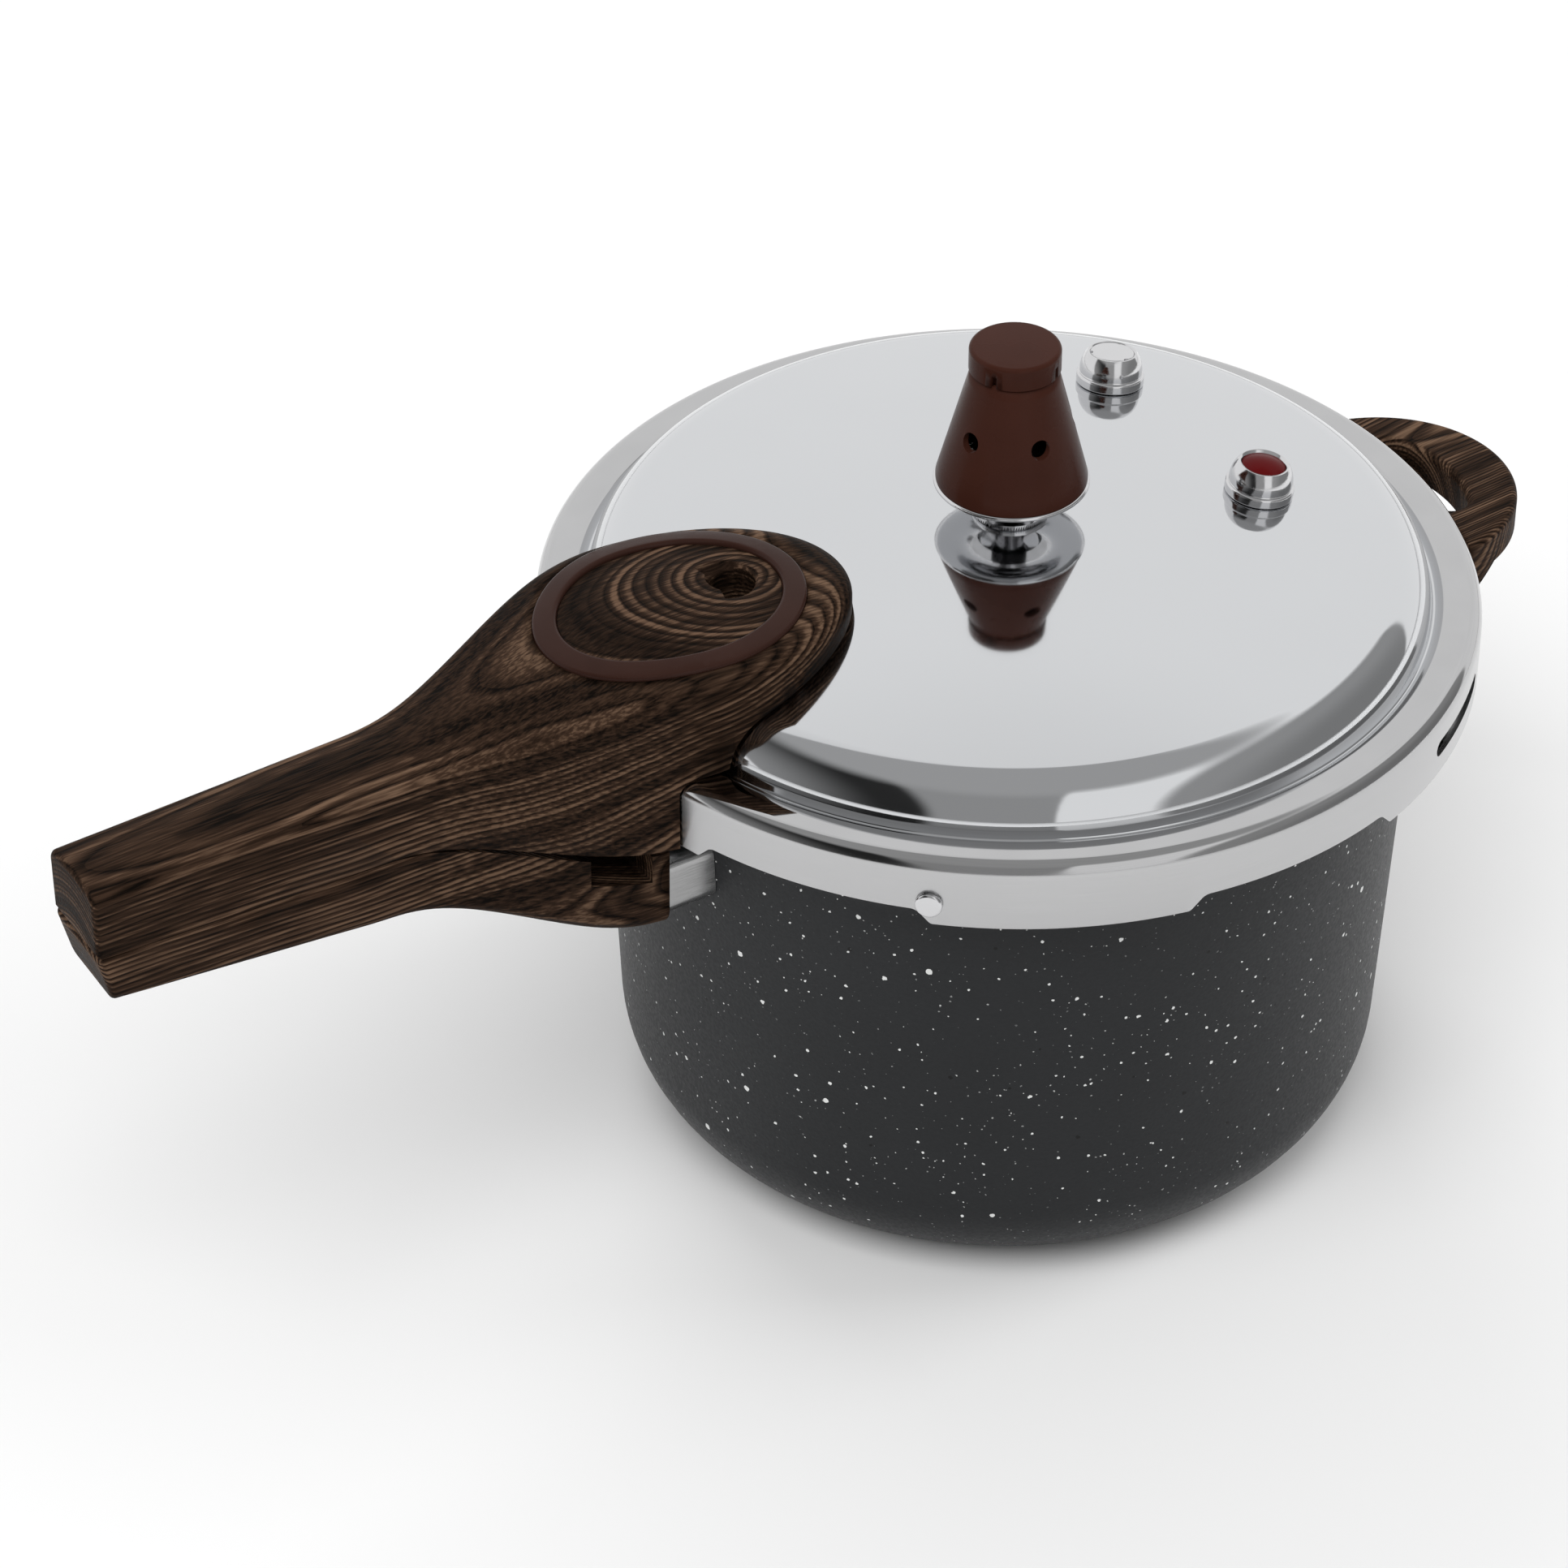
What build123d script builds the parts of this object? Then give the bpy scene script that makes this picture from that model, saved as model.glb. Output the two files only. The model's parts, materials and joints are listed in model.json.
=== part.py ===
"""Stovetop pressure cooker with a bayonet lid, in millimetres, +Z up.

The origin is the centre of the pot's underside. The long handles point along -X, the
helper handle points along +X, and the lid is turned fully closed.
"""
from build123d import *
import math
import os

# Pot
pot_wall_radius = 112.3      # outer wall just under the rim
pot_taper = 6.3              # how much narrower the wall line is at the base
pot_corner_radius = 31.0
pot_height = 156.0           # top of the rim
pot_wall = 2.6
pot_base = 4.0
rim_thickness = 6.8
rim_width = 4.7              # rim beyond the outer wall
rim_edge_round = 1.0

# Bayonet, shared by the pot's rim and the lid's skirt
lug_count = 6
lug_reach = 6.0              # pot lugs beyond the rim
lug_span = 24.0
first_lug_angle = -116.5
lug_clearance = 1.7          # lid feet below the pot lugs
foot_thickness = 3.7
foot_gap = 1.2               # lid feet outside the pot's rim
gap_step_height = 4.6        # how far the skirt is cut up between the feet
gap_top_half = 29.0
gap_slant = 4.3              # how much wider each side of the gap is at its mouth
gap_corner_round = 3.0

# Lid
lid_sheet = 2.6
skirt_gap = 2.4              # skirt outside the pot lugs
flange_over_rim = 8.0
flange_edge_round = 4.0
flange_width = 10.6
valley_width = 2.8
valley_depth = 2.6
shoulder_draft = 2.4
shoulder_width = 9.7
shoulder_drop = 1.8          # theoretical shoulder corner below the dome's edge
shoulder_round = 13.0
dome_edge_over_flange = 12.5
dome_rise = 9.5
window_length = 36.0
window_height = 5.0
window_above_foot = 2.5
window_angle = -53.0
stop_rivet_angle = -131.8
stop_rivet_radius = 3.6
stop_rivet_head = 1.6
stop_rivet_above_foot = 6.9

# Sealing ring
seal_width = 9.0
seal_wall_gap = 0.3
seal_lip = 2.1
seal_height = 9.5
seal_rest = 4.2              # how far its foot reaches over the pot's rim
seal_rim_gap = 0.3

# Handles
handle_past_flange = 150.0   # end of both grips
neck_past_flange = 67.0      # where both handles settle to the grip's section
grip_half_width = 13.0
neck_half_width = 15.0
grip_end_round = 1.6
lower_end_slant = 4.5        # how far the lower grip's end leans in
head_inside_flange = 16.0    # centre of the upper handle's oval head
head_half_length = 58.0
head_half_width = 36.5
head_over_flange = 32.5
neck_over_flange = 13.8
grip_over_flange = 11.0
head_corner = 6.5
grip_corner = 3.5
head_crown_radius = 140.0
grip_crown_radius = 60.0
split_under_flange = 9.6     # top of the lower grip
grip_gap = 0.6               # between the two grips
upper_root_drop = 20.4       # underside of the upper handle beside the flange
handle_lid_gap = 0.5
lower_root_past_wall = 9.7
lower_root_half_width = 27.0
lower_root_drop = 18.4       # below the split
lower_root_depth = 26.0
lower_neck_depth = 19.9
lower_grip_depth = 14.9
lower_root_corner = 7.0
lower_grip_corner = 3.5
lower_draft = 0.6
notch_length = 17.0
notch_wall = 5.0
notch_depth = 8.5
loft_stations = 12

# Oval trim on the upper handle's head
trim_offset = 6.5            # trim's centre from the head's centre
trim_half_length = 37.3
trim_half_width = 31.0
trim_width = 6.5
trim_depth = 4.0
trim_proud = 1.0
trim_edge_round = 1.1
cover_sunk = 0.4
inlay_fit = 0.15
sight_offset = 20.5          # sight hole from the trim's centre
sight_hole_radius = 6.5
sight_funnel_radius = 10.0
sight_funnel_depth = 3.5

# Lid bracket inside the upper handle
bracket_sheet = 2.5
lid_bracket_half_width = 20.0
lid_rivet_side = 15.0
lid_rivet_above_foot = 5.6
tongue_half_width = 10.0
tongue_thickness = 3.0
tongue_past_flange = 60.0
tongue_over_split = 4.0
pocket_margin = 1.6
grip_screw_inset = 12.0
grip_screw_depth = 12.0
head_screw_offset = 13.5     # from the head's centre
head_screw_depth = 9.0

# Lower handle bracket on the pot
sleeve_height = 20.0
sleeve_drop = 12.6           # sleeve's middle below the lower handle's root
sleeve_half_width = 26.5
sleeve_wall = 1.5
sleeve_round = 5.0
sleeve_fit = 0.2
pot_tongue_past_wall = 34.7
pot_tongue_half_width = 10.0
pot_tongue_fit = 0.2
pot_screw_inset = 9.0
pot_screw_length = 9.0
pot_rivet_side = 15.5

# Helper handle
helper_past_flange = 37.0
helper_half_width = 37.0
helper_bar = 17.5            # loop's bar at its outer end
helper_side_bar = 8.0        # and at its two sides
helper_knee = 24.0           # flat part under the loop, from its outer end
helper_gap_past_flange = 6.0
helper_gap_round = 5.0
helper_bend_inside = 3.0     # where the loop starts to bend, inside the flange
helper_drop = 14.5           # loop's top below the flange
helper_foot_gap = 1.8        # root kept below the lid's feet
helper_root_depth = 17.0
helper_root_run = 10.0       # past the pot's wall, where the underside starts to rise
helper_bar_depth = 10.5
helper_step_gap = 1.8        # loop kept outside the flange
helper_round = 2.4
helper_tongue_past_wall = 13.7
helper_tongue_half_width = 8.5
helper_tongue_drop = 9.0     # below the root's top
helper_plate_half_width = 20.0
helper_plate_height = 12.0
helper_screw_inset = 6.0
helper_screw_length = 8.0
helper_rivet_side = 14.0

# Fasteners
rivet_radius = 2.4
rivet_head_radius = 4.6
rivet_head = 1.8
screw_radius = 2.2
screw_head_radius = 4.2
screw_head = 2.6
screw_drive_radius = 1.4
screw_drive_depth = 1.2
fastener_fit = 0.1
seat_gap = 0.05
cut_margin = 1.0             # how far a cut runs past the face it opens

# Vent pipe and weight
vent_flange_radius = 10.5
vent_flange = 3.0
vent_stem_radius = 3.9
vent_height = 20.4           # pipe mouth above the dome
vent_thread_radius = 5.0
vent_thread = 10.5           # below the lid's outer face
vent_bore = 1.6
vent_nut_flats = 16.0
vent_nut_height = 5.0
inner_seat_gap = 0.3
strainer_radius = 8.5
strainer_height = 5.0
strainer_wall = 1.2
strainer_holes = 6
strainer_hole_radius = 1.3
weight_gap = 9.0             # weight's underside above the dome
weight_radius = 21.0
weight_rim = 2.0
weight_height = 43.0
weight_core_radius = 10.5
weight_core_height = 26.0
weight_mouth_radius = 9.0
weight_mouth_depth = 5.0
weight_socket_radius = 4.3
needle_radius = 2.4
needle_gap = 0.4
bonnet_inset = 0.6           # inside the weight's rim
bonnet_wall = 2.0
bonnet_holes = 5
bonnet_hole_radius = 2.7
bonnet_hole_height = 19.5
bonnet_hole_angle = -96.0
cap_radius = 12.3
cap_overhang = 0.7
cap_height = 6.6
cap_round = 1.2
cap_wall = 1.8
cap_slots = 4
cap_slot_width = 1.6
cap_slot_height = 3.5

# Valve housings on the dome
barrel_flange_radius = 9.5
barrel_flange = 3.0
barrel_flange_round = 0.7
barrel_waist_radius = 8.7
barrel_mouth_radius = 6.9
barrel_height = 9.2
barrel_bulge = 0.7
barrel_wall = 0.55
barrel_stem_radius = 5.5
barrel_stem = 9.0
barrel_nut_flats = 15.0
barrel_nut_height = 4.0
running_gap = 0.35
indicator_reach = 69.5
indicator_floor = 3.6
indicator_angle = -18.5
indicator_stem_radius = 2.4
indicator_flange_radius = 4.4
indicator_flange = 1.6
indicator_rise = 5.0
indicator_crown = 1.4
indicator_button = 4.6
relief_reach = 77.5
relief_angle = 36.0
relief_mouth_wall = 0.6
relief_floor = 1.2
relief_seat_hole = 1.8
relief_piston_radius = 4.6
relief_piston_height = 1.2
relief_guide_radius = 1.3
relief_lift = 1.0            # piston's travel
relief_plug_height = 1.6
relief_plug_round = 0.6
relief_plug_notches = 3
relief_plug_notch_radius = 0.8
spring_wire = 0.35
spring_radius = 3.0
spring_turns = 2.5
bush_flange_radius = 5.8
bush_flange = 2.0
bush_stem_radius = 4.4
bush_stem = 8.0
bush_nut_flats = 12.0
bush_nut_height = 3.2
interlock_pin_radius = 2.4
interlock_pin_top = 5.0      # above the dome at rest
interlock_pin_flange_radius = 4.0
interlock_pin_flange = 1.5
interlock_rise = 5.0

# Radii and heights that follow from the sizes above
pot_base_radius = pot_wall_radius - pot_taper
rim_under = pot_height - rim_thickness
rim_radius = pot_wall_radius + rim_width
lug_radius = rim_radius + lug_reach
lug_pitch = 360.0 / lug_count
lug_angles = [first_lug_angle + lug_pitch * i for i in range(lug_count)]
foot_top = rim_under - lug_clearance
skirt_bottom = foot_top - foot_thickness
skirt_inner = lug_radius + skirt_gap
flange_radius = skirt_inner + lid_sheet
flange_inner_radius = flange_radius - flange_width
valley_radius = flange_inner_radius - valley_width
shoulder_radius = valley_radius - shoulder_draft
dome_edge_radius = shoulder_radius - shoulder_width
flange_top = pot_height + flange_over_rim
dome_edge = flange_top + dome_edge_over_flange
dome_top = dome_edge + dome_rise
dome_radius = (dome_edge_radius**2 + dome_rise**2) / (2 * dome_rise)
dome_centre = dome_top - dome_radius
weight_bottom = dome_top + weight_gap
bonnet_base_radius = weight_radius - bonnet_inset
bonnet_top_radius = cap_radius - cap_overhang
relief_bore = barrel_mouth_radius - relief_mouth_wall
indicator_bore = barrel_mouth_radius - barrel_wall

handle_reach = flange_radius + handle_past_flange
handle_neck = flange_radius + neck_past_flange
head_reach = flange_radius - head_inside_flange
head_top = flange_top + head_over_flange
neck_top = flange_top + neck_over_flange
grip_top = flange_top + grip_over_flange
split_height = flange_top - split_under_flange
upper_root_height = flange_top - upper_root_drop
lower_root_reach = pot_wall_radius + lower_root_past_wall
lower_root_top = split_height - lower_root_drop
lower_root_bottom = lower_root_top - lower_root_depth
lower_neck_bottom = split_height - lower_neck_depth
lower_grip_bottom = split_height - lower_grip_depth
trim_reach = head_reach - trim_offset
interlock_reach = trim_reach - sight_offset
head_screw_reach = head_reach - head_screw_offset
tongue_reach = flange_radius + tongue_past_flange
tongue_ceiling = split_height + tongue_over_split
grip_screw_reach = tongue_reach - grip_screw_inset
sleeve_middle = lower_root_top - sleeve_drop
pot_tongue_reach = pot_wall_radius + pot_tongue_past_wall
pot_screw_reach = pot_tongue_reach - pot_screw_inset
helper_reach = flange_radius + helper_past_flange
helper_gap_start = flange_radius + helper_gap_past_flange
helper_root_reach = pot_wall_radius + helper_root_run
helper_bend_reach = flange_radius - helper_bend_inside
helper_step_reach = flange_radius + helper_step_gap
helper_top = flange_top - helper_drop
helper_step = skirt_bottom - helper_foot_gap
helper_root_bottom = helper_step - helper_root_depth
helper_bar_bottom = helper_top - helper_bar_depth
helper_tongue_reach = pot_wall_radius + helper_tongue_past_wall
helper_tongue_height = helper_step - helper_tongue_drop
helper_screw_reach = helper_tongue_reach - helper_screw_inset
handle_floor = lower_root_bottom   # upper handle blanks start here and are cut to shape


def face_of(points, rounds=()):
    """Closed polygon face whose named corners get a radius each."""
    face = make_face(Polyline(*points, close=True))
    for corner, radius in rounds:
        face = fillet(face.vertices().sort_by_distance(corner)[0], radius)
    return face


def turned(points, rounds=()):
    """Solid of revolution about Z from radius and height pairs."""
    return revolve(Plane.XZ * face_of(points, rounds), Axis.Z)


def tube(outer, inner, low, high):
    """Plain ring about Z between two heights."""
    return turned([(inner, low), (outer, low), (outer, high), (inner, high)])


def rod(radius, low, high):
    """Plain cylinder about Z between two heights."""
    return turned([(0, low), (radius, low), (radius, high), (0, high)])


def block(x_range, half_width, z_range):
    """Box centred on the XZ plane."""
    size = (abs(x_range[1] - x_range[0]), 2 * half_width, z_range[1] - z_range[0])
    middle = ((x_range[0] + x_range[1]) / 2, 0, (z_range[0] + z_range[1]) / 2)
    return Pos(*middle) * Box(*size)


def hex_nut(flats, bore, low, high):
    """Hexagonal nut about Z."""
    prism = extrude(RegularPolygon(flats / 2, 6, major_radius=False), high - low)
    return Pos(0, 0, low) * prism - rod(bore, low, high)


def blend(start, end, share):
    """Smooth change from start to end, level at both."""
    share = min(max(share, 0.0), 1.0)
    return start + (end - start) * share * share * (3 - 2 * share)


def wall_radius(height):
    """Outer radius of the pot's wall at a height."""
    return pot_base_radius + (pot_wall_radius - pot_base_radius) * height / rim_under


def wall_blank(grow):
    """Pot's outer wall as a filled solid, grown by a distance."""
    return turned([
        (0, 0),
        (wall_radius(0) + grow, 0),
        (wall_radius(rim_under) + grow, rim_under),
        (0, rim_under),
    ])


def dome_height(radius):
    """Height of the dome's outer face at a radius."""
    return dome_centre + math.sqrt(dome_radius**2 - radius**2)


def on_dome(radius, angle):
    """Frame on the dome's outer face, with Z along its normal."""
    tilt = math.degrees(math.asin(radius / dome_radius))
    return Rot(0, 0, angle) * Pos(radius, 0, dome_height(radius)) * Rot(0, tilt, 0)


def on_wall(radius, height, angle, lean=0):
    """Frame with Z pointing radially outwards, leaning down by some degrees."""
    return Rot(0, 0, angle) * Pos(radius, 0, height) * Rot(0, 90 + lean, 0)


def on_pot(height, angle):
    """Frame on the pot's outer wall, with Z along its normal."""
    lean = math.degrees(math.atan2(pot_wall_radius - pot_base_radius, rim_under))
    return on_wall(wall_radius(height), height, angle, lean)


indicator_place = on_dome(indicator_reach, indicator_angle)
relief_place = on_dome(relief_reach, relief_angle)
interlock_place = on_dome(interlock_reach, 180)
head_screw_place = on_dome(head_screw_reach, 180)
pot_rivet_turn = math.degrees(math.asin(pot_rivet_side / pot_wall_radius))
helper_rivet_turn = math.degrees(math.asin(helper_rivet_side / pot_wall_radius))
lid_rivet_turn = math.degrees(math.asin(lid_rivet_side / flange_radius))
pot_rivet_places = [on_pot(sleeve_middle, 180 + side * pot_rivet_turn) for side in (-1, 1)]
helper_rivet_places = [on_pot(helper_tongue_height, side * helper_rivet_turn) for side in (-1, 1)]
lid_rivet_places = [
    on_wall(flange_radius, foot_top + lid_rivet_above_foot, 180 + side * lid_rivet_turn)
    for side in (-1, 1)
]
stop_rivet_place = on_wall(flange_radius, skirt_bottom + stop_rivet_above_foot, stop_rivet_angle)


def rivet(inner, outer):
    """Round-headed rivet along Z, clamping sheets from -inner to outer."""
    shank = rod(rivet_radius, -inner, outer)
    heads = [
        turned(
            [(0, base), (rivet_head_radius, base), (rivet_head_radius, tip), (0, tip)],
            [((rivet_head_radius, tip), rivet_head * 0.8)],
        )
        for base, tip in ((outer, outer + rivet_head), (-inner, -inner - rivet_head))
    ]
    return shank + heads[0] + heads[1]


def screw(length):
    """Pan-head screw along Z, its head seat at zero and its shank upwards."""
    head = turned(
        [(0, -screw_head), (screw_head_radius, -screw_head), (screw_head_radius, 0), (0, 0)],
        [((screw_head_radius, -screw_head), screw_head / 2)],
    )
    drive = Pos(0, 0, -screw_head) * extrude(RegularPolygon(screw_drive_radius, 6), screw_drive_depth)
    return head + rod(screw_radius, 0, length) - drive


# Pot with its rim and bayonet lugs
def make_pot():
    inner_rim = wall_radius(pot_height) - pot_wall
    inner_base = wall_radius(pot_base) - pot_wall
    pot = turned(
        [
            (0, 0),
            (pot_base_radius, 0),
            (pot_wall_radius, rim_under),
            (rim_radius, rim_under),
            (rim_radius, pot_height),
            (inner_rim, pot_height),
            (inner_base, pot_base),
            (0, pot_base),
        ],
        [
            ((pot_base_radius, 0), pot_corner_radius),
            ((inner_base, pot_base), pot_corner_radius - pot_wall),
            ((inner_rim, pot_height), rim_edge_round),
        ],
    )
    lug_face = face_of([
        (rim_radius - rim_edge_round, rim_under),
        (lug_radius, rim_under),
        (lug_radius, pot_height),
        (rim_radius - rim_edge_round, pot_height),
    ])
    lug = revolve(Plane.XZ * lug_face, Axis.Z, revolution_arc=lug_span)
    for angle in lug_angles:
        pot += Rot(0, 0, angle - lug_span / 2) * lug
    hole = rod(rivet_radius + fastener_fit, -2 * pot_wall, pot_wall)
    for place in pot_rivet_places + helper_rivet_places:
        pot -= place * hole
    return pot


# Lid, pressed from one sheet
def lid_points():
    """Outer face of the lid from the dome's edge down to the skirt."""
    return [
        (shoulder_radius, dome_edge - shoulder_drop),
        (valley_radius, flange_top - valley_depth),
        (flange_inner_radius, flange_top),
        (flange_radius, flange_top),
    ]


def dome_arc(grow):
    """Arc over the dome, from its edge to the axis, grown by a distance."""
    radius = dome_radius + grow
    half = math.asin(dome_edge_radius / dome_radius)
    points = [
        (radius * math.sin(half * share), dome_centre + radius * math.cos(half * share))
        for share in (1, 0.5, 0)
    ]
    return ThreePointArc(*points)


def lid_envelope(gap):
    """Filled solid a little larger than the lid, for what sits over it."""
    shoulder, valley, inner, edge = lid_points()
    arc = dome_arc(gap)
    outline = Polyline(
        arc @ 0,
        (shoulder[0] + gap, shoulder[1] + gap),
        (valley[0] + gap, inner[1] + gap),
        (edge[0] + gap, edge[1] + gap),
        (edge[0] + gap, handle_floor - cut_margin),
        (0, handle_floor - cut_margin),
        arc @ 1,
    )
    face = make_face(arc + outline)
    corner = face.vertices().sort_by_distance((shoulder[0] + gap, shoulder[1] + gap))[0]
    face = fillet(corner, shoulder_round + gap)
    corner = face.vertices().sort_by_distance((edge[0] + gap, edge[1] + gap))[0]
    face = fillet(corner, flange_edge_round + gap)
    return revolve(Plane.XZ * face, Axis.Z)


def make_lid():
    shoulder, valley, inner, edge = lid_points()
    under = -lid_sheet
    outer_arc = dome_arc(0)
    inner_arc = dome_arc(under)
    inner_shoulder = (shoulder[0] + under, shoulder[1] + under * 1.1)
    inner_valley = (valley[0] + under, valley[1] + under)
    lip = (inner[0] - under / 3, edge[1] + under)
    groove = (valley[0] - under / 3, valley[1] + under)
    outline = Polyline(
        outer_arc @ 0,
        shoulder,
        valley,
        inner,
        edge,
        (edge[0], skirt_bottom),
        (skirt_inner, skirt_bottom),
        (skirt_inner, edge[1] + under),
        lip,
        groove,
        inner_valley,
        inner_shoulder,
        inner_arc @ 0,
    )
    axis_line = Line(inner_arc @ 1, outer_arc @ 1)
    face = make_face(outer_arc + outline + inner_arc + axis_line)
    for corner, radius in (
        (shoulder, shoulder_round),
        (inner_shoulder, shoulder_round - lid_sheet),
        (edge, flange_edge_round),
        ((skirt_inner, edge[1] + under), flange_edge_round - lid_sheet),
        (inner, 2 * valley_depth / 3),
        (valley, valley_depth / 3),
    ):
        face = fillet(face.vertices().sort_by_distance(corner)[0], radius)
    lid = revolve(Plane.XZ * face, Axis.Z)
    lid += tube(skirt_inner + lid_sheet / 2, rim_radius + foot_gap, skirt_bottom, foot_top)
    gap_mouth_half = gap_top_half + gap_slant
    mouth_end = gap_mouth_half + gap_corner_round
    step = face_of(
        [
            (-mouth_end, -cut_margin),
            (mouth_end, -cut_margin),
            (mouth_end, -seat_gap),
            (gap_mouth_half, -seat_gap),
            (gap_top_half, gap_step_height),
            (-gap_top_half, gap_step_height),
            (-gap_mouth_half, -seat_gap),
            (-mouth_end, -seat_gap),
        ],
        [
            ((gap_mouth_half, -seat_gap), gap_corner_round),
            ((-gap_mouth_half, -seat_gap), gap_corner_round),
            ((gap_top_half, gap_step_height), gap_corner_round),
            ((-gap_top_half, gap_step_height), gap_corner_round),
        ],
    )
    step_cut = extrude(step, flange_radius / 3)
    for angle in lug_angles:
        lid -= tangent_frame(angle + lug_pitch / 2, skirt_bottom) * step_cut
    window = extrude(SlotOverall(window_length, window_height), flange_radius / 8)
    window_height_middle = foot_top + window_above_foot + window_height / 2
    lid -= tangent_frame(window_angle, window_height_middle, 0.93) * window
    for place, radius in (
        (indicator_place, barrel_stem_radius),
        (relief_place, barrel_stem_radius),
        (interlock_place, bush_stem_radius),
        (head_screw_place, screw_radius),
        (Pos(0, 0, dome_top), vent_thread_radius),
    ):
        lid -= place * rod(radius + fastener_fit, -3 * lid_sheet, lid_sheet)
    for place in lid_rivet_places:
        lid -= place * rod(rivet_radius + fastener_fit, -2 * lid_sheet, lid_sheet)
    lid -= stop_rivet_place * rod(rivet_radius + fastener_fit, -2 * lid_sheet, lid_sheet)
    return lid


def tangent_frame(angle, height, share=0.85):
    """Frame whose XY plane is tangent to the skirt and whose Z points outwards."""
    upright = Plane(origin=(0, 0, 0), x_dir=(0, 1, 0), z_dir=(1, 0, 0))
    return Rot(0, 0, angle) * Pos(flange_radius * share, 0, height) * upright.location


def make_sealing_ring():
    outer = shoulder_radius - lid_sheet - seal_wall_gap
    inner = outer - seal_width
    low = pot_height + seal_rim_gap
    high = low + seal_height
    return turned([
        (inner, low),
        (outer + seal_rest, low),
        (outer + seal_rest, low + seal_lip),
        (outer, low + seal_lip),
        (outer, high),
        (inner + seal_lip, high),
        (inner + seal_lip, high - seal_lip),
        (outer - seal_lip, high - seal_lip),
        (outer - seal_lip, low + seal_lip),
        (inner, low + seal_lip),
    ])


# Upper handle: a lofted grip that runs into an oval, crowned head
def head_section(half_width, top, crown, corner):
    """Points of a crowned section: wall top, corner middle, crown start and apex."""
    centre = top - crown
    corner_y = half_width - corner
    corner_z = centre + math.sqrt((crown - corner) ** 2 - corner_y**2)
    lean = math.atan2(corner_y, corner_z - centre)
    crown_start = (crown * math.sin(lean), centre + crown * math.cos(lean))
    middle = (math.pi / 2 + lean) / 2
    corner_middle = (corner_y + corner * math.sin(middle), corner_z + corner * math.cos(middle))
    return (half_width, corner_z), corner_middle, crown_start, (0, top)


def mirrored(point):
    """The same point on the other side of the section's middle."""
    return (-point[0], point[1])


def upper_section(reach):
    """Half width, top, crown radius and corner radius at a distance from the axis."""
    share = (reach - head_reach) / (handle_neck - head_reach)
    along = max(0.0, (reach - handle_neck) / (handle_reach - handle_neck))
    half_width = blend(head_half_width, neck_half_width, share)
    half_width += (grip_half_width - neck_half_width) * along
    top = blend(head_top, neck_top, share) + (grip_top - neck_top) * along
    crown = blend(head_crown_radius, grip_crown_radius, share)
    corner = blend(head_corner, grip_corner, share)
    return half_width, top, crown, corner


def stations(start):
    """Even distances from the axis at which a handle's sections are set."""
    return [start + (handle_reach - start) * i / loft_stations for i in range(loft_stations + 1)]


def upper_blank():
    """Upper handle before its underside is cut to the lid and the lower handle."""
    faces = []
    for reach in stations(head_reach):
        wall, corner, crown, apex = head_section(*upper_section(reach))
        edges = [
            Line((-wall[0], handle_floor), (wall[0], handle_floor)),
            Line((wall[0], handle_floor), wall),
            ThreePointArc(wall, corner, crown),
            ThreePointArc(crown, apex, mirrored(crown)),
            ThreePointArc(mirrored(crown), mirrored(corner), mirrored(wall)),
            Line(mirrored(wall), (-wall[0], handle_floor)),
        ]
        faces.append(Plane.YZ.offset(-reach) * make_face(edges))
    grip = loft(faces)
    wall, corner, crown, apex = head_section(*upper_section(head_reach))
    top_centre = head_top - head_crown_radius
    half = math.atan2(crown[0], crown[1] - top_centre) / 2
    crown_middle = (
        head_crown_radius * math.sin(half),
        top_centre + head_crown_radius * math.cos(half),
    )
    profile = make_face([
        Line((0, handle_floor), (wall[0], handle_floor)),
        Line((wall[0], handle_floor), wall),
        ThreePointArc(wall, corner, crown),
        ThreePointArc(crown, crown_middle, apex),
        Line(apex, (0, handle_floor)),
    ])
    side = Plane(origin=(0, 0, 0), x_dir=(0, -1, 0), z_dir=(-1, 0, 0))
    nose = revolve(side * profile, Axis.Z, revolution_arc=180)
    nose = scale(nose, by=(head_half_length / head_half_width, 1, 1))
    return grip + Pos(-head_reach, 0, 0) * nose


def below_split(root_reach, root_height, neck_height, drop):
    """Filled solid under the curved line where the two handles meet."""
    steps = loft_stations
    curve = [
        (
            -(root_reach + (handle_neck - root_reach) * i / steps),
            blend(root_height, neck_height, i / steps),
        )
        for i in range(steps + 1)
    ]
    low = handle_floor - drop
    line = Spline(*curve, tangents=((-1, 0), (-1, 0)))
    rest = Polyline(
        line @ 1,
        (-handle_reach - drop, neck_height),
        (-handle_reach - drop, low),
        (0, low),
        (0, root_height),
        line @ 0,
    )
    return extrude(Plane.XZ * make_face(line + rest), 2 * head_half_width, both=True)


def oval(grow, low, high):
    """Upright oval prism around the trim's centre."""
    ellipse = Ellipse(trim_half_length + grow, trim_half_width + grow)
    return Pos(-trim_reach, 0, low) * extrude(ellipse, high - low)


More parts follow.
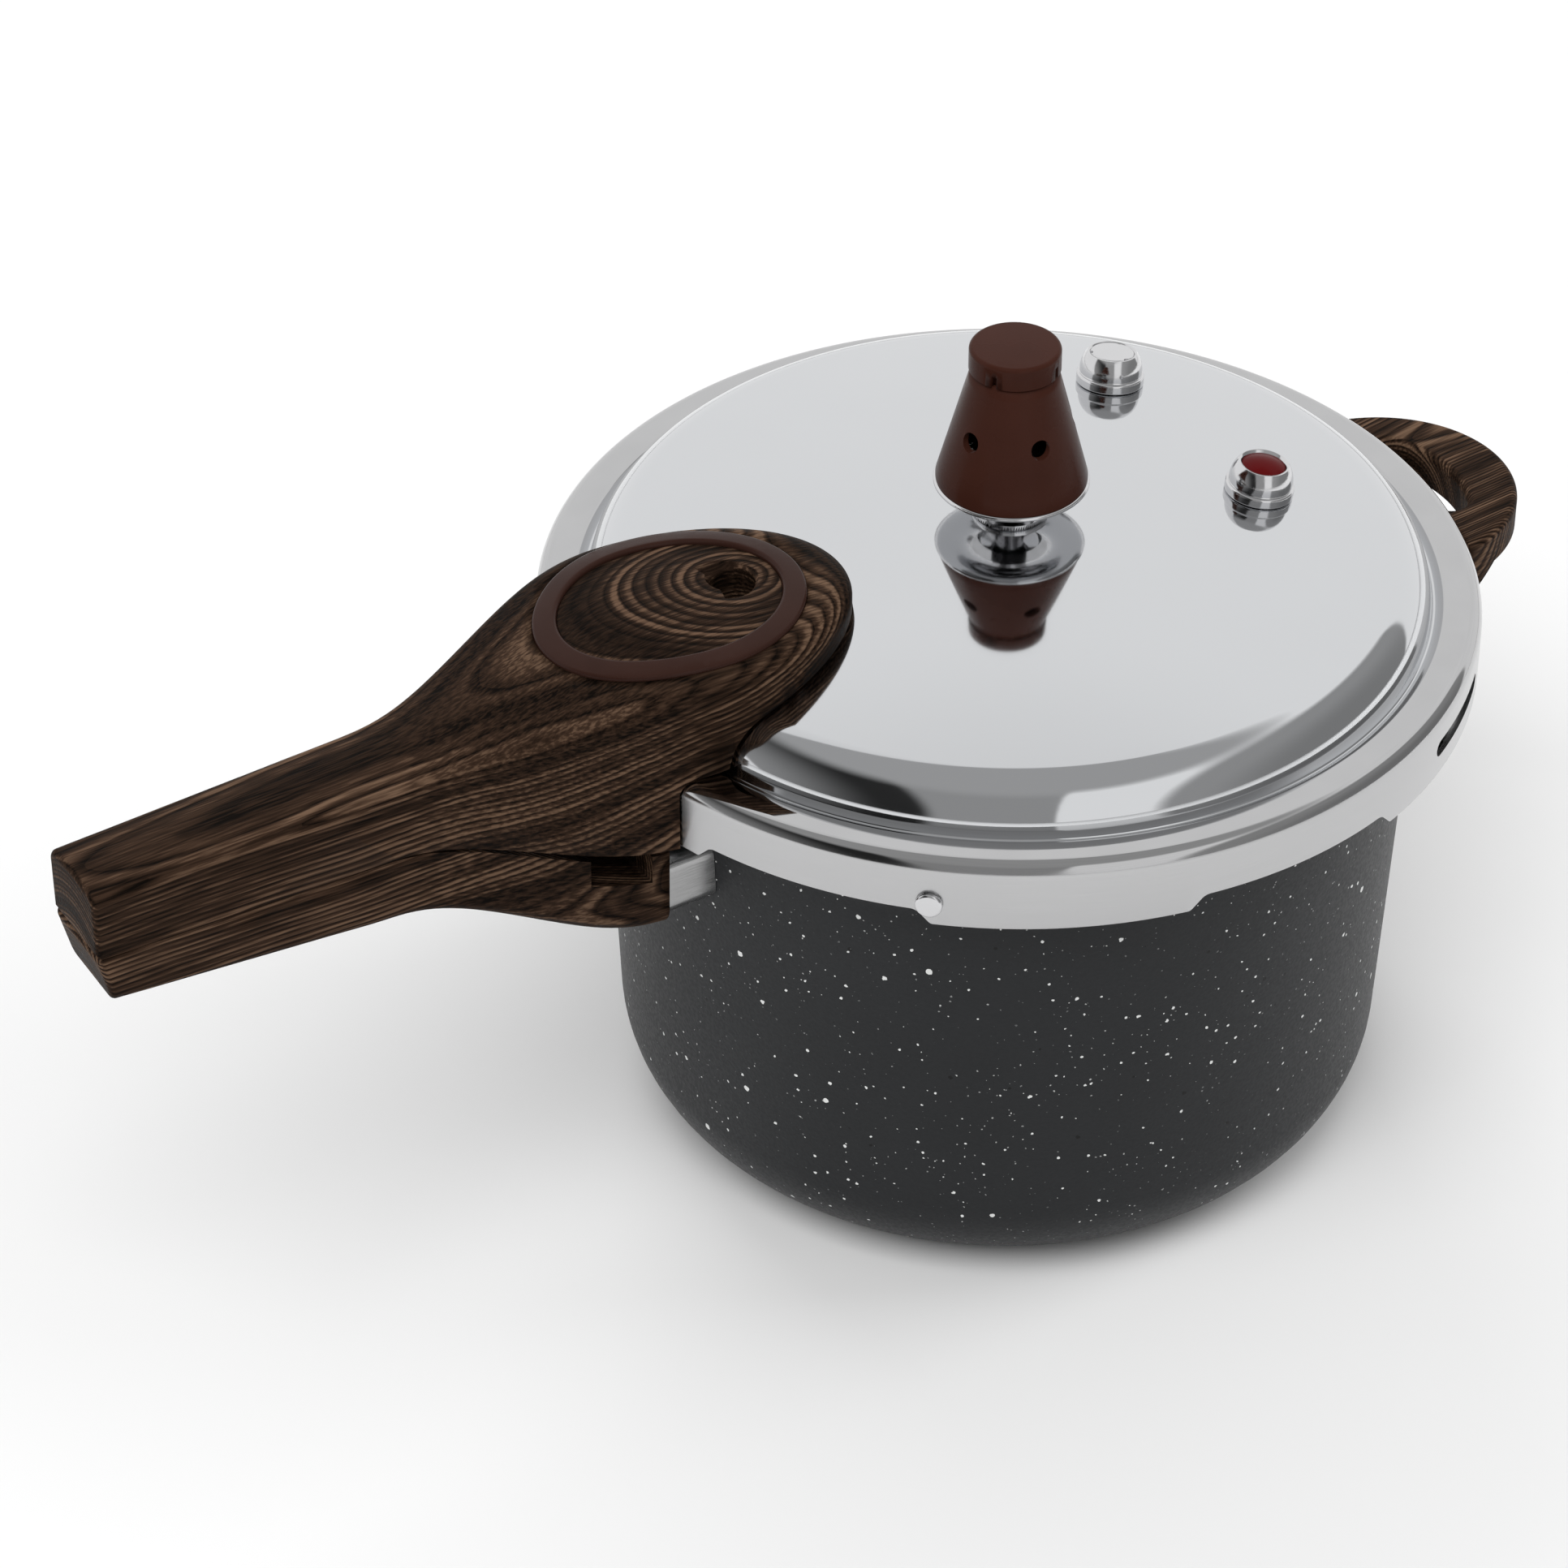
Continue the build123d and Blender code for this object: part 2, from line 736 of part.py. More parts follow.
def make_upper_handle(blank):
    low, high = handle_floor, head_top + 2 * trim_depth
    handle = blank - lid_envelope(handle_lid_gap)
    handle -= below_split(flange_radius, upper_root_height, split_height + grip_gap, pocket_margin)
    handle -= oval(inlay_fit, low, high) - Pos(0, 0, -trim_depth) * blank
    plate_reach = flange_radius + bracket_sheet + inner_seat_gap + rivet_head
    ceiling = tongue_ceiling + seat_gap
    handle -= block(
        (-plate_reach - pocket_margin, -flange_radius + lid_sheet),
        lid_bracket_half_width + pocket_margin,
        (low, ceiling),
    )
    handle -= block(
        (-tongue_reach - pocket_margin, -flange_radius + lid_sheet),
        tongue_half_width + pocket_margin,
        (low, ceiling),
    )
    handle -= Pos(-grip_screw_reach, 0, tongue_ceiling) * rod(
        screw_radius + fastener_fit, -cut_margin, grip_screw_depth + fastener_fit
    )
    handle -= head_screw_place * rod(screw_radius + fastener_fit, -lid_sheet, head_screw_depth + fastener_fit)
    handle -= interlock_place * rod(sight_hole_radius, -lid_sheet, head_top - dome_edge)
    return rounded_end(handle)


def rounded_end(handle):
    """The same handle with a radius round its outer end."""
    return fillet(handle.faces().sort_by(Axis.X)[0].edges(), grip_end_round)


def make_trim_ring(blank):
    low, high = dome_edge, head_top + 2 * trim_depth
    ring = oval(0, low, high) - oval(-trim_width, low, high)
    ring &= Pos(0, 0, trim_proud) * blank
    ring -= Pos(0, 0, seat_gap - trim_depth) * blank
    top = ring.edges().filter_by(lambda e: e.center().Z > blank_top(e.center().X) - trim_depth / 2)
    return fillet(top.filter_by(lambda e: e.length > 2 * trim_width), trim_edge_round)


def blank_top(x):
    """Height of the upper handle's crown along its middle."""
    return upper_section(max(-x, head_reach))[1]


def make_oval_cover(blank):
    low, high = dome_edge, head_top + 2 * trim_depth
    cover = oval(-trim_width - inlay_fit, low, high) & Pos(0, 0, -cover_sunk) * blank
    cover -= Pos(0, 0, seat_gap - trim_depth) * blank
    cover -= interlock_place * rod(sight_hole_radius, 0, head_top - dome_edge)
    mouth = head_top - dome_height(interlock_reach)
    funnel = turned([
        (0, mouth - 2 * sight_funnel_depth),
        (sight_hole_radius, mouth - sight_funnel_depth),
        (sight_funnel_radius, mouth),
        (0, mouth),
    ])
    return cover - interlock_place * funnel


def make_lid_bracket():
    inner = flange_radius + seat_gap
    plate = tube(inner + bracket_sheet, inner, skirt_bottom, tongue_ceiling)
    plate &= block((-2 * flange_radius, 0), lid_bracket_half_width, (skirt_bottom, flange_top))
    tongue_low = tongue_ceiling - tongue_thickness
    tongue = block((-tongue_reach, -flange_radius), tongue_half_width, (tongue_low, tongue_ceiling))
    bracket = plate + tongue - rod(inner, skirt_bottom, flange_top)
    bracket -= Pos(-grip_screw_reach, 0, tongue_low) * rod(
        screw_radius + fastener_fit, -cut_margin, tongue_thickness + cut_margin
    )
    for place in lid_rivet_places:
        bracket -= place * rod(rivet_radius + fastener_fit, -cut_margin, 2 * bracket_sheet)
    return bracket


def make_lid_rivets():
    one = rivet(lid_sheet + inner_seat_gap, bracket_sheet + inner_seat_gap)
    return [place * one for place in lid_rivet_places]


def make_upper_screws():
    grip_screw = Pos(-grip_screw_reach, 0, tongue_ceiling - tongue_thickness) * screw(
        tongue_thickness + grip_screw_depth
    )
    drop = lid_sheet + 2 * inner_seat_gap + screw_head / 2
    head_screw = head_screw_place * Pos(0, 0, -drop) * screw(drop + head_screw_depth)
    return [grip_screw, head_screw]


def make_head_screw_seal():
    top = -lid_sheet - inner_seat_gap
    return head_screw_place * tube(
        1.4 * screw_head_radius, screw_radius + fastener_fit, top - screw_head / 2, top
    )


def make_stop_rivet():
    head = turned(
        [
            (0, seat_gap),
            (stop_rivet_radius, seat_gap),
            (stop_rivet_radius, stop_rivet_head),
            (0, stop_rivet_head),
        ],
        [((stop_rivet_radius, stop_rivet_head), stop_rivet_head / 2)],
    )
    return stop_rivet_place * (head + rod(rivet_radius, seat_gap - lid_sheet, seat_gap))


# Lower handle and its bracket
def sleeve_face(shrink):
    """Rounded section of the metal sleeve, smaller by a distance."""
    return RectangleRounded(
        2 * (sleeve_half_width - shrink),
        sleeve_height - 2 * shrink,
        sleeve_round - shrink,
    )


def sleeve_prism(shrink, near, far):
    """Sleeve section run along the handle between two distances from the axis."""
    frame = Plane.YZ.offset(-far) * Pos(0, sleeve_middle)
    return extrude(frame * sleeve_face(shrink), far - near)


def pot_tongue(grow):
    """Tongue that carries the lower handle, grown by a clearance."""
    return block(
        (-pot_tongue_reach - grow, -wall_radius(sleeve_middle)),
        pot_tongue_half_width + grow,
        (sleeve_middle - tongue_thickness / 2 - grow, sleeve_middle + tongue_thickness / 2 + grow),
    )


def make_lower_bracket():
    near = wall_radius(sleeve_middle) - sleeve_half_width
    sleeve = sleeve_prism(0, near, lower_root_reach)
    sleeve -= sleeve_prism(sleeve_wall, 0, lower_root_reach + cut_margin)
    plate = sleeve_prism(sleeve_wall / 2, near, lower_root_reach) & wall_blank(seat_gap + bracket_sheet)
    bracket = sleeve + plate + pot_tongue(0) - wall_blank(seat_gap)
    for place in pot_rivet_places:
        bracket -= place * rod(rivet_radius + fastener_fit, -cut_margin, 2 * bracket_sheet)
    bracket -= Pos(-pot_screw_reach, 0, sleeve_middle) * rod(
        screw_radius + fastener_fit, -tongue_thickness, tongue_thickness
    )
    return bracket


def seated_rivets(places):
    """Rivets through the pot's wall, their inner heads cut to the wall."""
    one = rivet(pot_wall + inner_seat_gap, bracket_sheet + inner_seat_gap)
    return [place * one for place in places]


def lower_section(reach):
    """Half width, top, bottom and corner radius at a distance from the axis."""
    share = (reach - lower_root_reach) / (handle_neck - lower_root_reach)
    along = max(0.0, (reach - handle_neck) / (handle_reach - handle_neck))
    half_width = blend(lower_root_half_width, neck_half_width, share)
    half_width += (grip_half_width - neck_half_width) * along
    top = blend(lower_root_top, split_height, share)
    bottom = blend(lower_root_bottom, lower_neck_bottom, share)
    bottom += (lower_grip_bottom - lower_neck_bottom) * along
    return half_width, top, bottom, blend(lower_root_corner, lower_grip_corner, share)


def make_lower_handle():
    faces = []
    for reach in stations(lower_root_reach):
        half_width, top, bottom, corner = lower_section(reach)
        foot = half_width - lower_draft
        section = face_of(
            [(-half_width, top), (-foot, bottom), (foot, bottom), (half_width, top)],
            [((-foot, bottom), corner), ((foot, bottom), corner)],
        )
        faces.append(Plane.YZ.offset(-reach) * section)
    handle = loft(faces)
    plate_face = wall_radius(sleeve_middle) + bracket_sheet + inner_seat_gap + rivet_head + sleeve_fit
    tenon = sleeve_prism(sleeve_wall + sleeve_fit, plate_face, lower_root_reach + sleeve_wall)
    handle += tenon
    notch_start = lower_root_reach + notch_wall
    notch_floor = lower_section(notch_start)[1] - notch_depth
    notch_end = lower_section(notch_start + notch_length)[1] - notch_depth
    notch = make_face(Polyline(
        (-notch_start, notch_floor),
        (-notch_start, split_height),
        (-notch_start - notch_length, split_height),
        (-notch_start - notch_length, notch_end),
        close=True,
    ))
    handle -= extrude(Plane.XZ * notch, 2 * lower_root_half_width, both=True)
    low = lower_grip_bottom - lower_end_slant
    end_cut = make_face(Polyline(
        (-handle_reach - lower_end_slant, split_height),
        (-handle_reach, split_height),
        (-handle_reach + lower_end_slant, low),
        (-handle_reach - lower_end_slant, low),
        close=True,
    ))
    handle -= extrude(Plane.XZ * end_cut, 2 * grip_half_width, both=True)
    handle = rounded_end(handle)
    handle -= pot_tongue(pot_tongue_fit)
    seat = sleeve_middle - tongue_thickness / 2 - pot_screw_seat()
    handle -= Pos(-pot_screw_reach, 0, seat) * (
        rod(screw_radius + fastener_fit, -cut_margin, pot_screw_length + fastener_fit)
        + rod(screw_head_radius + fastener_fit, -sleeve_height, 0)
    )
    return handle


def pot_screw_seat():
    """Thickness of handle left between the screw's head and the tongue."""
    return screw_head


def make_lower_screw():
    seat = sleeve_middle - tongue_thickness / 2 - pot_screw_seat()
    return Pos(-pot_screw_reach, 0, seat - seat_gap) * screw(pot_screw_length)


# Helper handle and its bracket
def make_helper_bracket():
    plate_range = (
        helper_tongue_height - helper_plate_height / 2,
        helper_tongue_height + helper_plate_height / 2,
    )
    plate = block((0, 2 * pot_wall_radius), helper_plate_half_width, plate_range)
    plate &= wall_blank(seat_gap + bracket_sheet)
    tongue = block(
        (pot_base_radius, helper_tongue_reach),
        helper_tongue_half_width,
        (helper_tongue_height - tongue_thickness / 2, helper_tongue_height + tongue_thickness / 2),
    )
    bracket = plate + tongue - wall_blank(seat_gap)
    for place in helper_rivet_places:
        bracket -= place * rod(rivet_radius + fastener_fit, -cut_margin, 2 * bracket_sheet)
    bracket -= Pos(helper_screw_reach, 0, helper_tongue_height) * rod(
        screw_radius + fastener_fit, -tongue_thickness, tongue_thickness
    )
    return bracket


def make_helper_handle():
    bend = helper_bend_reach
    outer = Pos(bend, 0) * Ellipse(helper_reach - bend, helper_half_width)
    outer += Pos(bend / 2, 0) * Rectangle(bend, 2 * helper_half_width)
    gap = Pos(bend, 0) * Ellipse(helper_reach - helper_bar - bend, helper_half_width - helper_side_bar)
    gap &= Pos(helper_gap_start + bend / 2, 0) * Rectangle(bend, 2 * helper_half_width)
    gap = fillet(gap.vertices(), helper_gap_round)
    low, high = helper_root_bottom, helper_top
    plan = Pos(0, 0, low) * extrude(outer - gap, high - low)
    side = face_of([
        (0, low),
        (helper_root_reach, low),
        (helper_reach - helper_knee, helper_bar_bottom),
        (helper_reach, helper_bar_bottom),
        (helper_reach, high),
        (helper_step_reach, high),
        (helper_step_reach, helper_step),
        (0, helper_step),
    ])
    handle = plan & extrude(Plane.XZ * side, helper_half_width, both=True)
    handle -= wall_blank(2 * seat_gap)
    top_edges = handle.edges().group_by(Axis.Z)[-1]
    loop_edges = top_edges.filter_by(lambda e: e.center().X > helper_step_reach + cut_margin)
    handle = fillet(loop_edges, helper_round)
    room = block(
        (0, 2 * pot_wall_radius),
        helper_plate_half_width + pot_tongue_fit,
        (
            helper_tongue_height - helper_plate_height / 2 - pot_tongue_fit,
            helper_tongue_height + helper_plate_height / 2 + pot_tongue_fit,
        ),
    )
    handle -= room & wall_blank(bracket_sheet + rivet_head + 3 * inner_seat_gap)
    handle -= block(
        (0, helper_tongue_reach + pot_tongue_fit),
        helper_tongue_half_width + pot_tongue_fit,
        (
            helper_tongue_height - tongue_thickness / 2 - pot_tongue_fit,
            helper_tongue_height + tongue_thickness / 2 + pot_tongue_fit,
        ),
    )
    seat = helper_tongue_height - tongue_thickness / 2 - screw_head
    handle -= Pos(helper_screw_reach, 0, seat) * (
        rod(screw_radius + fastener_fit, -cut_margin, helper_screw_length + fastener_fit)
        + rod(screw_head_radius + fastener_fit, -sleeve_height, 0)
    )
    return handle


def make_helper_screw():
    seat = helper_tongue_height - tongue_thickness / 2 - screw_head
    return Pos(helper_screw_reach, 0, seat - seat_gap) * screw(helper_screw_length)


# Vent pipe, strainer and weight
def make_vent_pipe():
    pipe = turned([
        (vent_bore, -vent_thread),
        (vent_thread_radius, -vent_thread),
        (vent_thread_radius, 0),
        (vent_flange_radius, 0),
        (vent_flange_radius, vent_flange / 2),
        (vent_thread_radius, vent_flange),
        (vent_stem_radius, vent_flange + vent_stem_radius),
        (vent_stem_radius, vent_height - vent_bore),
        (vent_stem_radius - vent_bore / 2, vent_height),
        (vent_bore, vent_height),
    ])
    return Pos(0, 0, dome_top) * pipe


def make_vent_nut():
    high = -lid_sheet - inner_seat_gap
    nut = hex_nut(vent_nut_flats, vent_thread_radius + fastener_fit, high - vent_nut_height, high)
    return Pos(0, 0, dome_top) * nut


def make_strainer():
    top = -lid_sheet - 2 * inner_seat_gap - vent_nut_height
    low = top - strainer_height
    cup = rod(strainer_radius, low, top) - rod(strainer_radius - strainer_wall, low + strainer_wall, top)
    collar = tube(
        strainer_radius, vent_thread_radius + fastener_fit, top - strainer_wall, top
    )
    cup += collar
    for i in range(strainer_holes):
        place = Rot(0, 0, 360 / strainer_holes * i) * Pos((strainer_radius - strainer_wall) / 2, 0, 0)
        cup -= place * rod(strainer_hole_radius, low - cut_margin, low + strainer_wall + cut_margin)
    return Pos(0, 0, dome_top) * cup


def make_weight_core():
    socket_top = vent_height - weight_gap + needle_gap
    needle_tip = socket_top - needle_gap / 2
    core = turned(
        [
            (weight_mouth_radius, 0),
            (weight_radius - weight_rim, 0),
            (weight_radius, weight_rim / 2),
            (weight_radius, weight_rim),
            (weight_core_radius, weight_rim),
            (weight_core_radius, weight_core_height),
            (0, weight_core_height),
            (0, needle_tip),
            (needle_radius, needle_tip + needle_radius),
            (weight_socket_radius, needle_tip + needle_radius),
            (weight_socket_radius, weight_mouth_depth),
            (weight_mouth_radius, weight_mouth_depth / 2),
        ],
        [((weight_radius, weight_rim), weight_rim / 3)],
    )
    return Pos(0, 0, weight_bottom) * core


def make_weight_bonnet():
    low = weight_rim + seat_gap
    high = weight_height - cap_height + cap_height / 2
    neck = bonnet_top_radius - cap_wall - inlay_fit
    step = weight_height - cap_height - seat_gap
    inner_top = bonnet_top_radius - bonnet_wall - cap_wall
    bonnet = turned([
        (bonnet_base_radius - bonnet_wall, low),
        (bonnet_base_radius, low),
        (bonnet_base_radius, low + bonnet_wall / 2),
        (bonnet_top_radius, step),
        (neck, step),
        (neck, high),
        (0, high),
        (0, high - bonnet_wall),
        (inner_top - bonnet_wall, high - bonnet_wall),
        (inner_top, step - bonnet_wall),
        (max(bonnet_top_radius - bonnet_wall, weight_core_radius + inlay_fit), step - 2 * bonnet_wall),
        (bonnet_base_radius - bonnet_wall, low + bonnet_wall),
    ])
    bonnet -= rod(weight_core_radius + inlay_fit, low, weight_core_height + inlay_fit)
    hole = rod(bonnet_hole_radius, weight_core_radius + bonnet_wall, weight_radius)
    for i in range(bonnet_holes):
        bonnet -= on_wall(0, bonnet_hole_height, bonnet_hole_angle + 360 / bonnet_holes * i) * hole
    return Pos(0, 0, weight_bottom) * bonnet


def make_weight_cap():
    low = weight_height - cap_height
    inner = bonnet_top_radius - cap_wall
    cap = turned(
        [
            (inner, low),
            (cap_radius, low),
            (cap_radius, weight_height),
            (0, weight_height),
            (0, low + cap_height / 2 + seat_gap),
            (inner, low + cap_height / 2 + seat_gap),
        ],
        [((cap_radius, weight_height), cap_round)],
    )
    slot = Pos(cap_radius, 0, low + cap_slot_height / 2) * Box(
        2 * cap_wall, cap_slot_width, cap_slot_height
    )
    for i in range(cap_slots):
        cap -= Rot(0, 0, bonnet_hole_angle + 360 / cap_slots * (i + 0.4)) * slot
    return Pos(0, 0, weight_bottom) * cap


# Valves on the dome
def barrel(bore, floor, floor_hole):
    """Barrel housing with a base flange, a mouth and a threaded stem, along Z."""
    waist = (barrel_waist_radius, barrel_flange)
    mouth = (barrel_mouth_radius, barrel_height)
    middle = (
        (waist[0] + mouth[0]) / 2 + barrel_bulge,
        (waist[1] + mouth[1]) / 2,
    )
    side = ThreePointArc(waist, middle, mouth)
    rest = Polyline(
        mouth,
        (bore, barrel_height),
        (bore, floor),
        (floor_hole, floor),
        (floor_hole, -barrel_stem),
        (barrel_stem_radius, -barrel_stem),
        (barrel_stem_radius, 0),
        (barrel_flange_radius, 0),
        (barrel_flange_radius, barrel_flange),
        waist,
    )
    face = make_face(side + rest)
    for corner in ((barrel_flange_radius, 0), (barrel_flange_radius, barrel_flange)):
        face = fillet(face.vertices().sort_by_distance(corner)[0], barrel_flange_round)
    return revolve(Plane.XZ * face, Axis.Z)


def barrel_nut():
    """Hexagonal nut under the lid for a barrel housing."""
    high = -lid_sheet - inner_seat_gap
    return hex_nut(barrel_nut_flats, barrel_stem_radius + fastener_fit, high - barrel_nut_height, high)


def make_indicator_float():
    button_radius = indicator_bore - running_gap
    low = indicator_floor + running_gap
    edge = low + indicator_button
    flange_top_z = -barrel_stem - indicator_rise - running_gap
    flange_low_z = flange_top_z - indicator_flange
    stem = Polyline(
        (button_radius, edge),
        (button_radius, low),
        (indicator_stem_radius, low),
        (indicator_stem_radius, flange_top_z),
        (indicator_flange_radius, flange_top_z),
        (indicator_flange_radius, flange_low_z),
        (0, flange_low_z),
        (0, edge + indicator_crown),
    )
    half = button_radius / 2
    crown = ThreePointArc(
        (0, edge + indicator_crown),
        (half, edge + 0.75 * indicator_crown),
        (button_radius, edge),
    )
    return indicator_place * revolve(Plane.XZ * make_face(stem + crown), Axis.Z)


relief_plug_low = barrel_height - relief_plug_height
relief_piston_low = relief_floor + running_gap
spring_low = relief_piston_low + relief_piston_height + spring_wire + seat_gap
spring_high = relief_plug_low - spring_wire - seat_gap


def make_relief_piston():
    guide_top = relief_plug_low - relief_lift - running_gap
    piston = turned([
        (0, relief_piston_low - relief_seat_hole),
        (relief_seat_hole - running_gap, relief_piston_low),
        (relief_piston_radius, relief_piston_low),
        (relief_piston_radius, relief_piston_low + relief_piston_height),
        (relief_guide_radius, relief_piston_low + relief_piston_height),
        (relief_guide_radius, guide_top),
        (0, guide_top),
    ])
    return relief_place * piston


def make_relief_plug():
    edge = relief_bore - seat_gap
    high = relief_plug_low + relief_plug_height
    plug = turned(
        [(0, relief_plug_low), (edge, relief_plug_low), (edge, high), (0, high)],
        [((edge, high), relief_plug_round)],
    )
    notch = Pos(edge, 0, 0) * rod(relief_plug_notch_radius, 0, 2 * barrel_height)
    for i in range(relief_plug_notches):
        plug -= Rot(0, 0, 360 / relief_plug_notches * i) * notch
    return relief_place * plug


def make_relief_spring():
    """Round wire wound on tangent arcs, a quarter turn each."""
    quarter = math.pi / 2
    count = round(4 * spring_turns)
    pitch = (spring_high - spring_low) / count

    def point(i):
        return Vector(
            spring_radius * math.cos(quarter * i),
            spring_radius * math.sin(quarter * i),
            spring_low + pitch * i,
        )

    tangent = Vector(0, spring_radius * quarter, pitch).normalized()
    arcs = []
    for i in range(count):
        arcs.append(TangentArc(point(i), point(i + 1), tangent=tangent))
        tangent = arcs[-1] % 1
    path = Wire(arcs)
    start = Plane(origin=point(0), z_dir=arcs[0] % 0)
    wire_solid = sweep(start * Circle(spring_wire), path=path)
    print("least gap between spring turns", round(4 * pitch - 2 * spring_wire, 3))
    return relief_place * wire_solid


def make_interlock_bush():
    bush = turned([
        (interlock_pin_radius + running_gap, -bush_stem),
        (bush_stem_radius, -bush_stem),
        (bush_stem_radius, 0),
        (bush_flange_radius, 0),
        (bush_flange_radius, bush_flange),
        (interlock_pin_radius + running_gap, bush_flange),
    ])
    return interlock_place * bush


def make_interlock_nut():
    high = -lid_sheet - inner_seat_gap
    nut = hex_nut(bush_nut_flats, bush_stem_radius + fastener_fit, high - bush_nut_height, high)
    return interlock_place * nut


def make_interlock_pin():
    flange_top_z = -bush_stem - interlock_rise - running_gap
    flange_low_z = flange_top_z - interlock_pin_flange
    pin = turned(
        [
            (0, flange_low_z),
            (interlock_pin_flange_radius, flange_low_z),
            (interlock_pin_flange_radius, flange_top_z),
            (interlock_pin_radius, flange_top_z),
            (interlock_pin_radius, interlock_pin_top),
            (0, interlock_pin_top),
        ],
        [((interlock_pin_radius, interlock_pin_top), interlock_pin_radius / 2)],
    )
    return interlock_place * pin


def grouped(solids):
    """Several separate solids as one node."""
    return Compound(children=list(solids))


upper = upper_blank()
parts = {
    "pot_body": make_pot(),
    "lower_handle_bracket": make_lower_bracket(),
    "lower_bracket_rivets": grouped(seated_rivets(pot_rivet_places)),
    "lower_handle": make_lower_handle(),
    "lower_handle_screw": make_lower_screw(),
    "helper_bracket": make_helper_bracket(),
    "helper_bracket_rivets": grouped(seated_rivets(helper_rivet_places)),
    "helper_handle": make_helper_handle(),
    "helper_handle_screw": make_helper_screw(),
    "lid_shell": make_lid(),
    "sealing_ring": make_sealing_ring(),
    "lid_bracket": make_lid_bracket(),
    "lid_bracket_rivets": grouped(make_lid_rivets()),
    "stop_rivet": make_stop_rivet(),
    "upper_handle": make_upper_handle(upper),
    "upper_handle_screws": grouped(make_upper_screws()),
    "head_screw_seal": make_head_screw_seal(),
    "trim_ring": make_trim_ring(upper),
    "oval_cover": make_oval_cover(upper),
    "vent_pipe": make_vent_pipe(),
    "vent_nut": make_vent_nut(),
    "vent_strainer": make_strainer(),
    "weight_core": make_weight_core(),
    "weight_bonnet": make_weight_bonnet(),
    "weight_cap": make_weight_cap(),
    "indicator_housing": indicator_place * barrel(
        indicator_bore, indicator_floor, indicator_stem_radius + running_gap
    ),
    "indicator_nut": indicator_place * barrel_nut(),
    "indicator_float": make_indicator_float(),
    "relief_housing": relief_place * barrel(relief_bore, relief_floor, relief_seat_hole),
    "relief_nut": relief_place * barrel_nut(),
    "relief_piston": make_relief_piston(),
    "relief_spring": make_relief_spring(),
    "relief_plug": make_relief_plug(),
    "interlock_bush": make_interlock_bush(),
    "interlock_nut": make_interlock_nut(),
    "interlock_pin": make_interlock_pin(),
}

os.makedirs("parts", exist_ok=True)
for name, shape in parts.items():
    export_step(shape, f"parts/{name}.step")
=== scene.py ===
"""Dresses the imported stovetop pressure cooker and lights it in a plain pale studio."""
import json
import logging
import math
from dataclasses import dataclass
from enum import Enum
from typing import Any, Dict, Iterable, List, Optional, Sequence, Tuple, Union

import bmesh
import bpy
from mathutils import Matrix, Vector

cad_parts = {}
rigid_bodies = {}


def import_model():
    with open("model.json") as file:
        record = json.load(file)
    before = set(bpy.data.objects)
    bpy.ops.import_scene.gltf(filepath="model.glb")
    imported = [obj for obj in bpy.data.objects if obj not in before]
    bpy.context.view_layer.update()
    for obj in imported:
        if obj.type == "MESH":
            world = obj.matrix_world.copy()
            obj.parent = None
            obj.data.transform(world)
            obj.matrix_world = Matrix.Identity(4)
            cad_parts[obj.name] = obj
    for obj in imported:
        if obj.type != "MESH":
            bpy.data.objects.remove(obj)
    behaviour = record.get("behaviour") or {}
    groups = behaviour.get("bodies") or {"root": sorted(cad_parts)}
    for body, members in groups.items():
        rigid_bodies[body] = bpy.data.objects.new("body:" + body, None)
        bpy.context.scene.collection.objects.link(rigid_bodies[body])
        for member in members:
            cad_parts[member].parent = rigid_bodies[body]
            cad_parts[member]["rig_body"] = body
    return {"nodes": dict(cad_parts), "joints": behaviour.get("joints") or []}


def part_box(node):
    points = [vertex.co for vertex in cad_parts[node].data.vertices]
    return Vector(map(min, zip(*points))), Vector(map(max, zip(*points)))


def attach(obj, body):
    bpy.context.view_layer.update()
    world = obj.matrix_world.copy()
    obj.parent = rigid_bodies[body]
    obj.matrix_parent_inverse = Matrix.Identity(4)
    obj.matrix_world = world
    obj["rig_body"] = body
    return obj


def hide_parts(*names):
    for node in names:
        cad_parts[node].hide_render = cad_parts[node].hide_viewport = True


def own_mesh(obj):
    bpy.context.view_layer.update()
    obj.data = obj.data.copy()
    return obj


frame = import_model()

LOG = logging.getLogger("cooker")
MM = 0.001
WELD = 0.002 * MM
NOISE_SPAN = (0.3, 0.7)
FINE_DETAIL = 3.0

Colour = Tuple[float, float, float]
Point = Tuple[float, float, float]
Span = Tuple[float, float]
Value = Union["Signal", float, Sequence[float]]


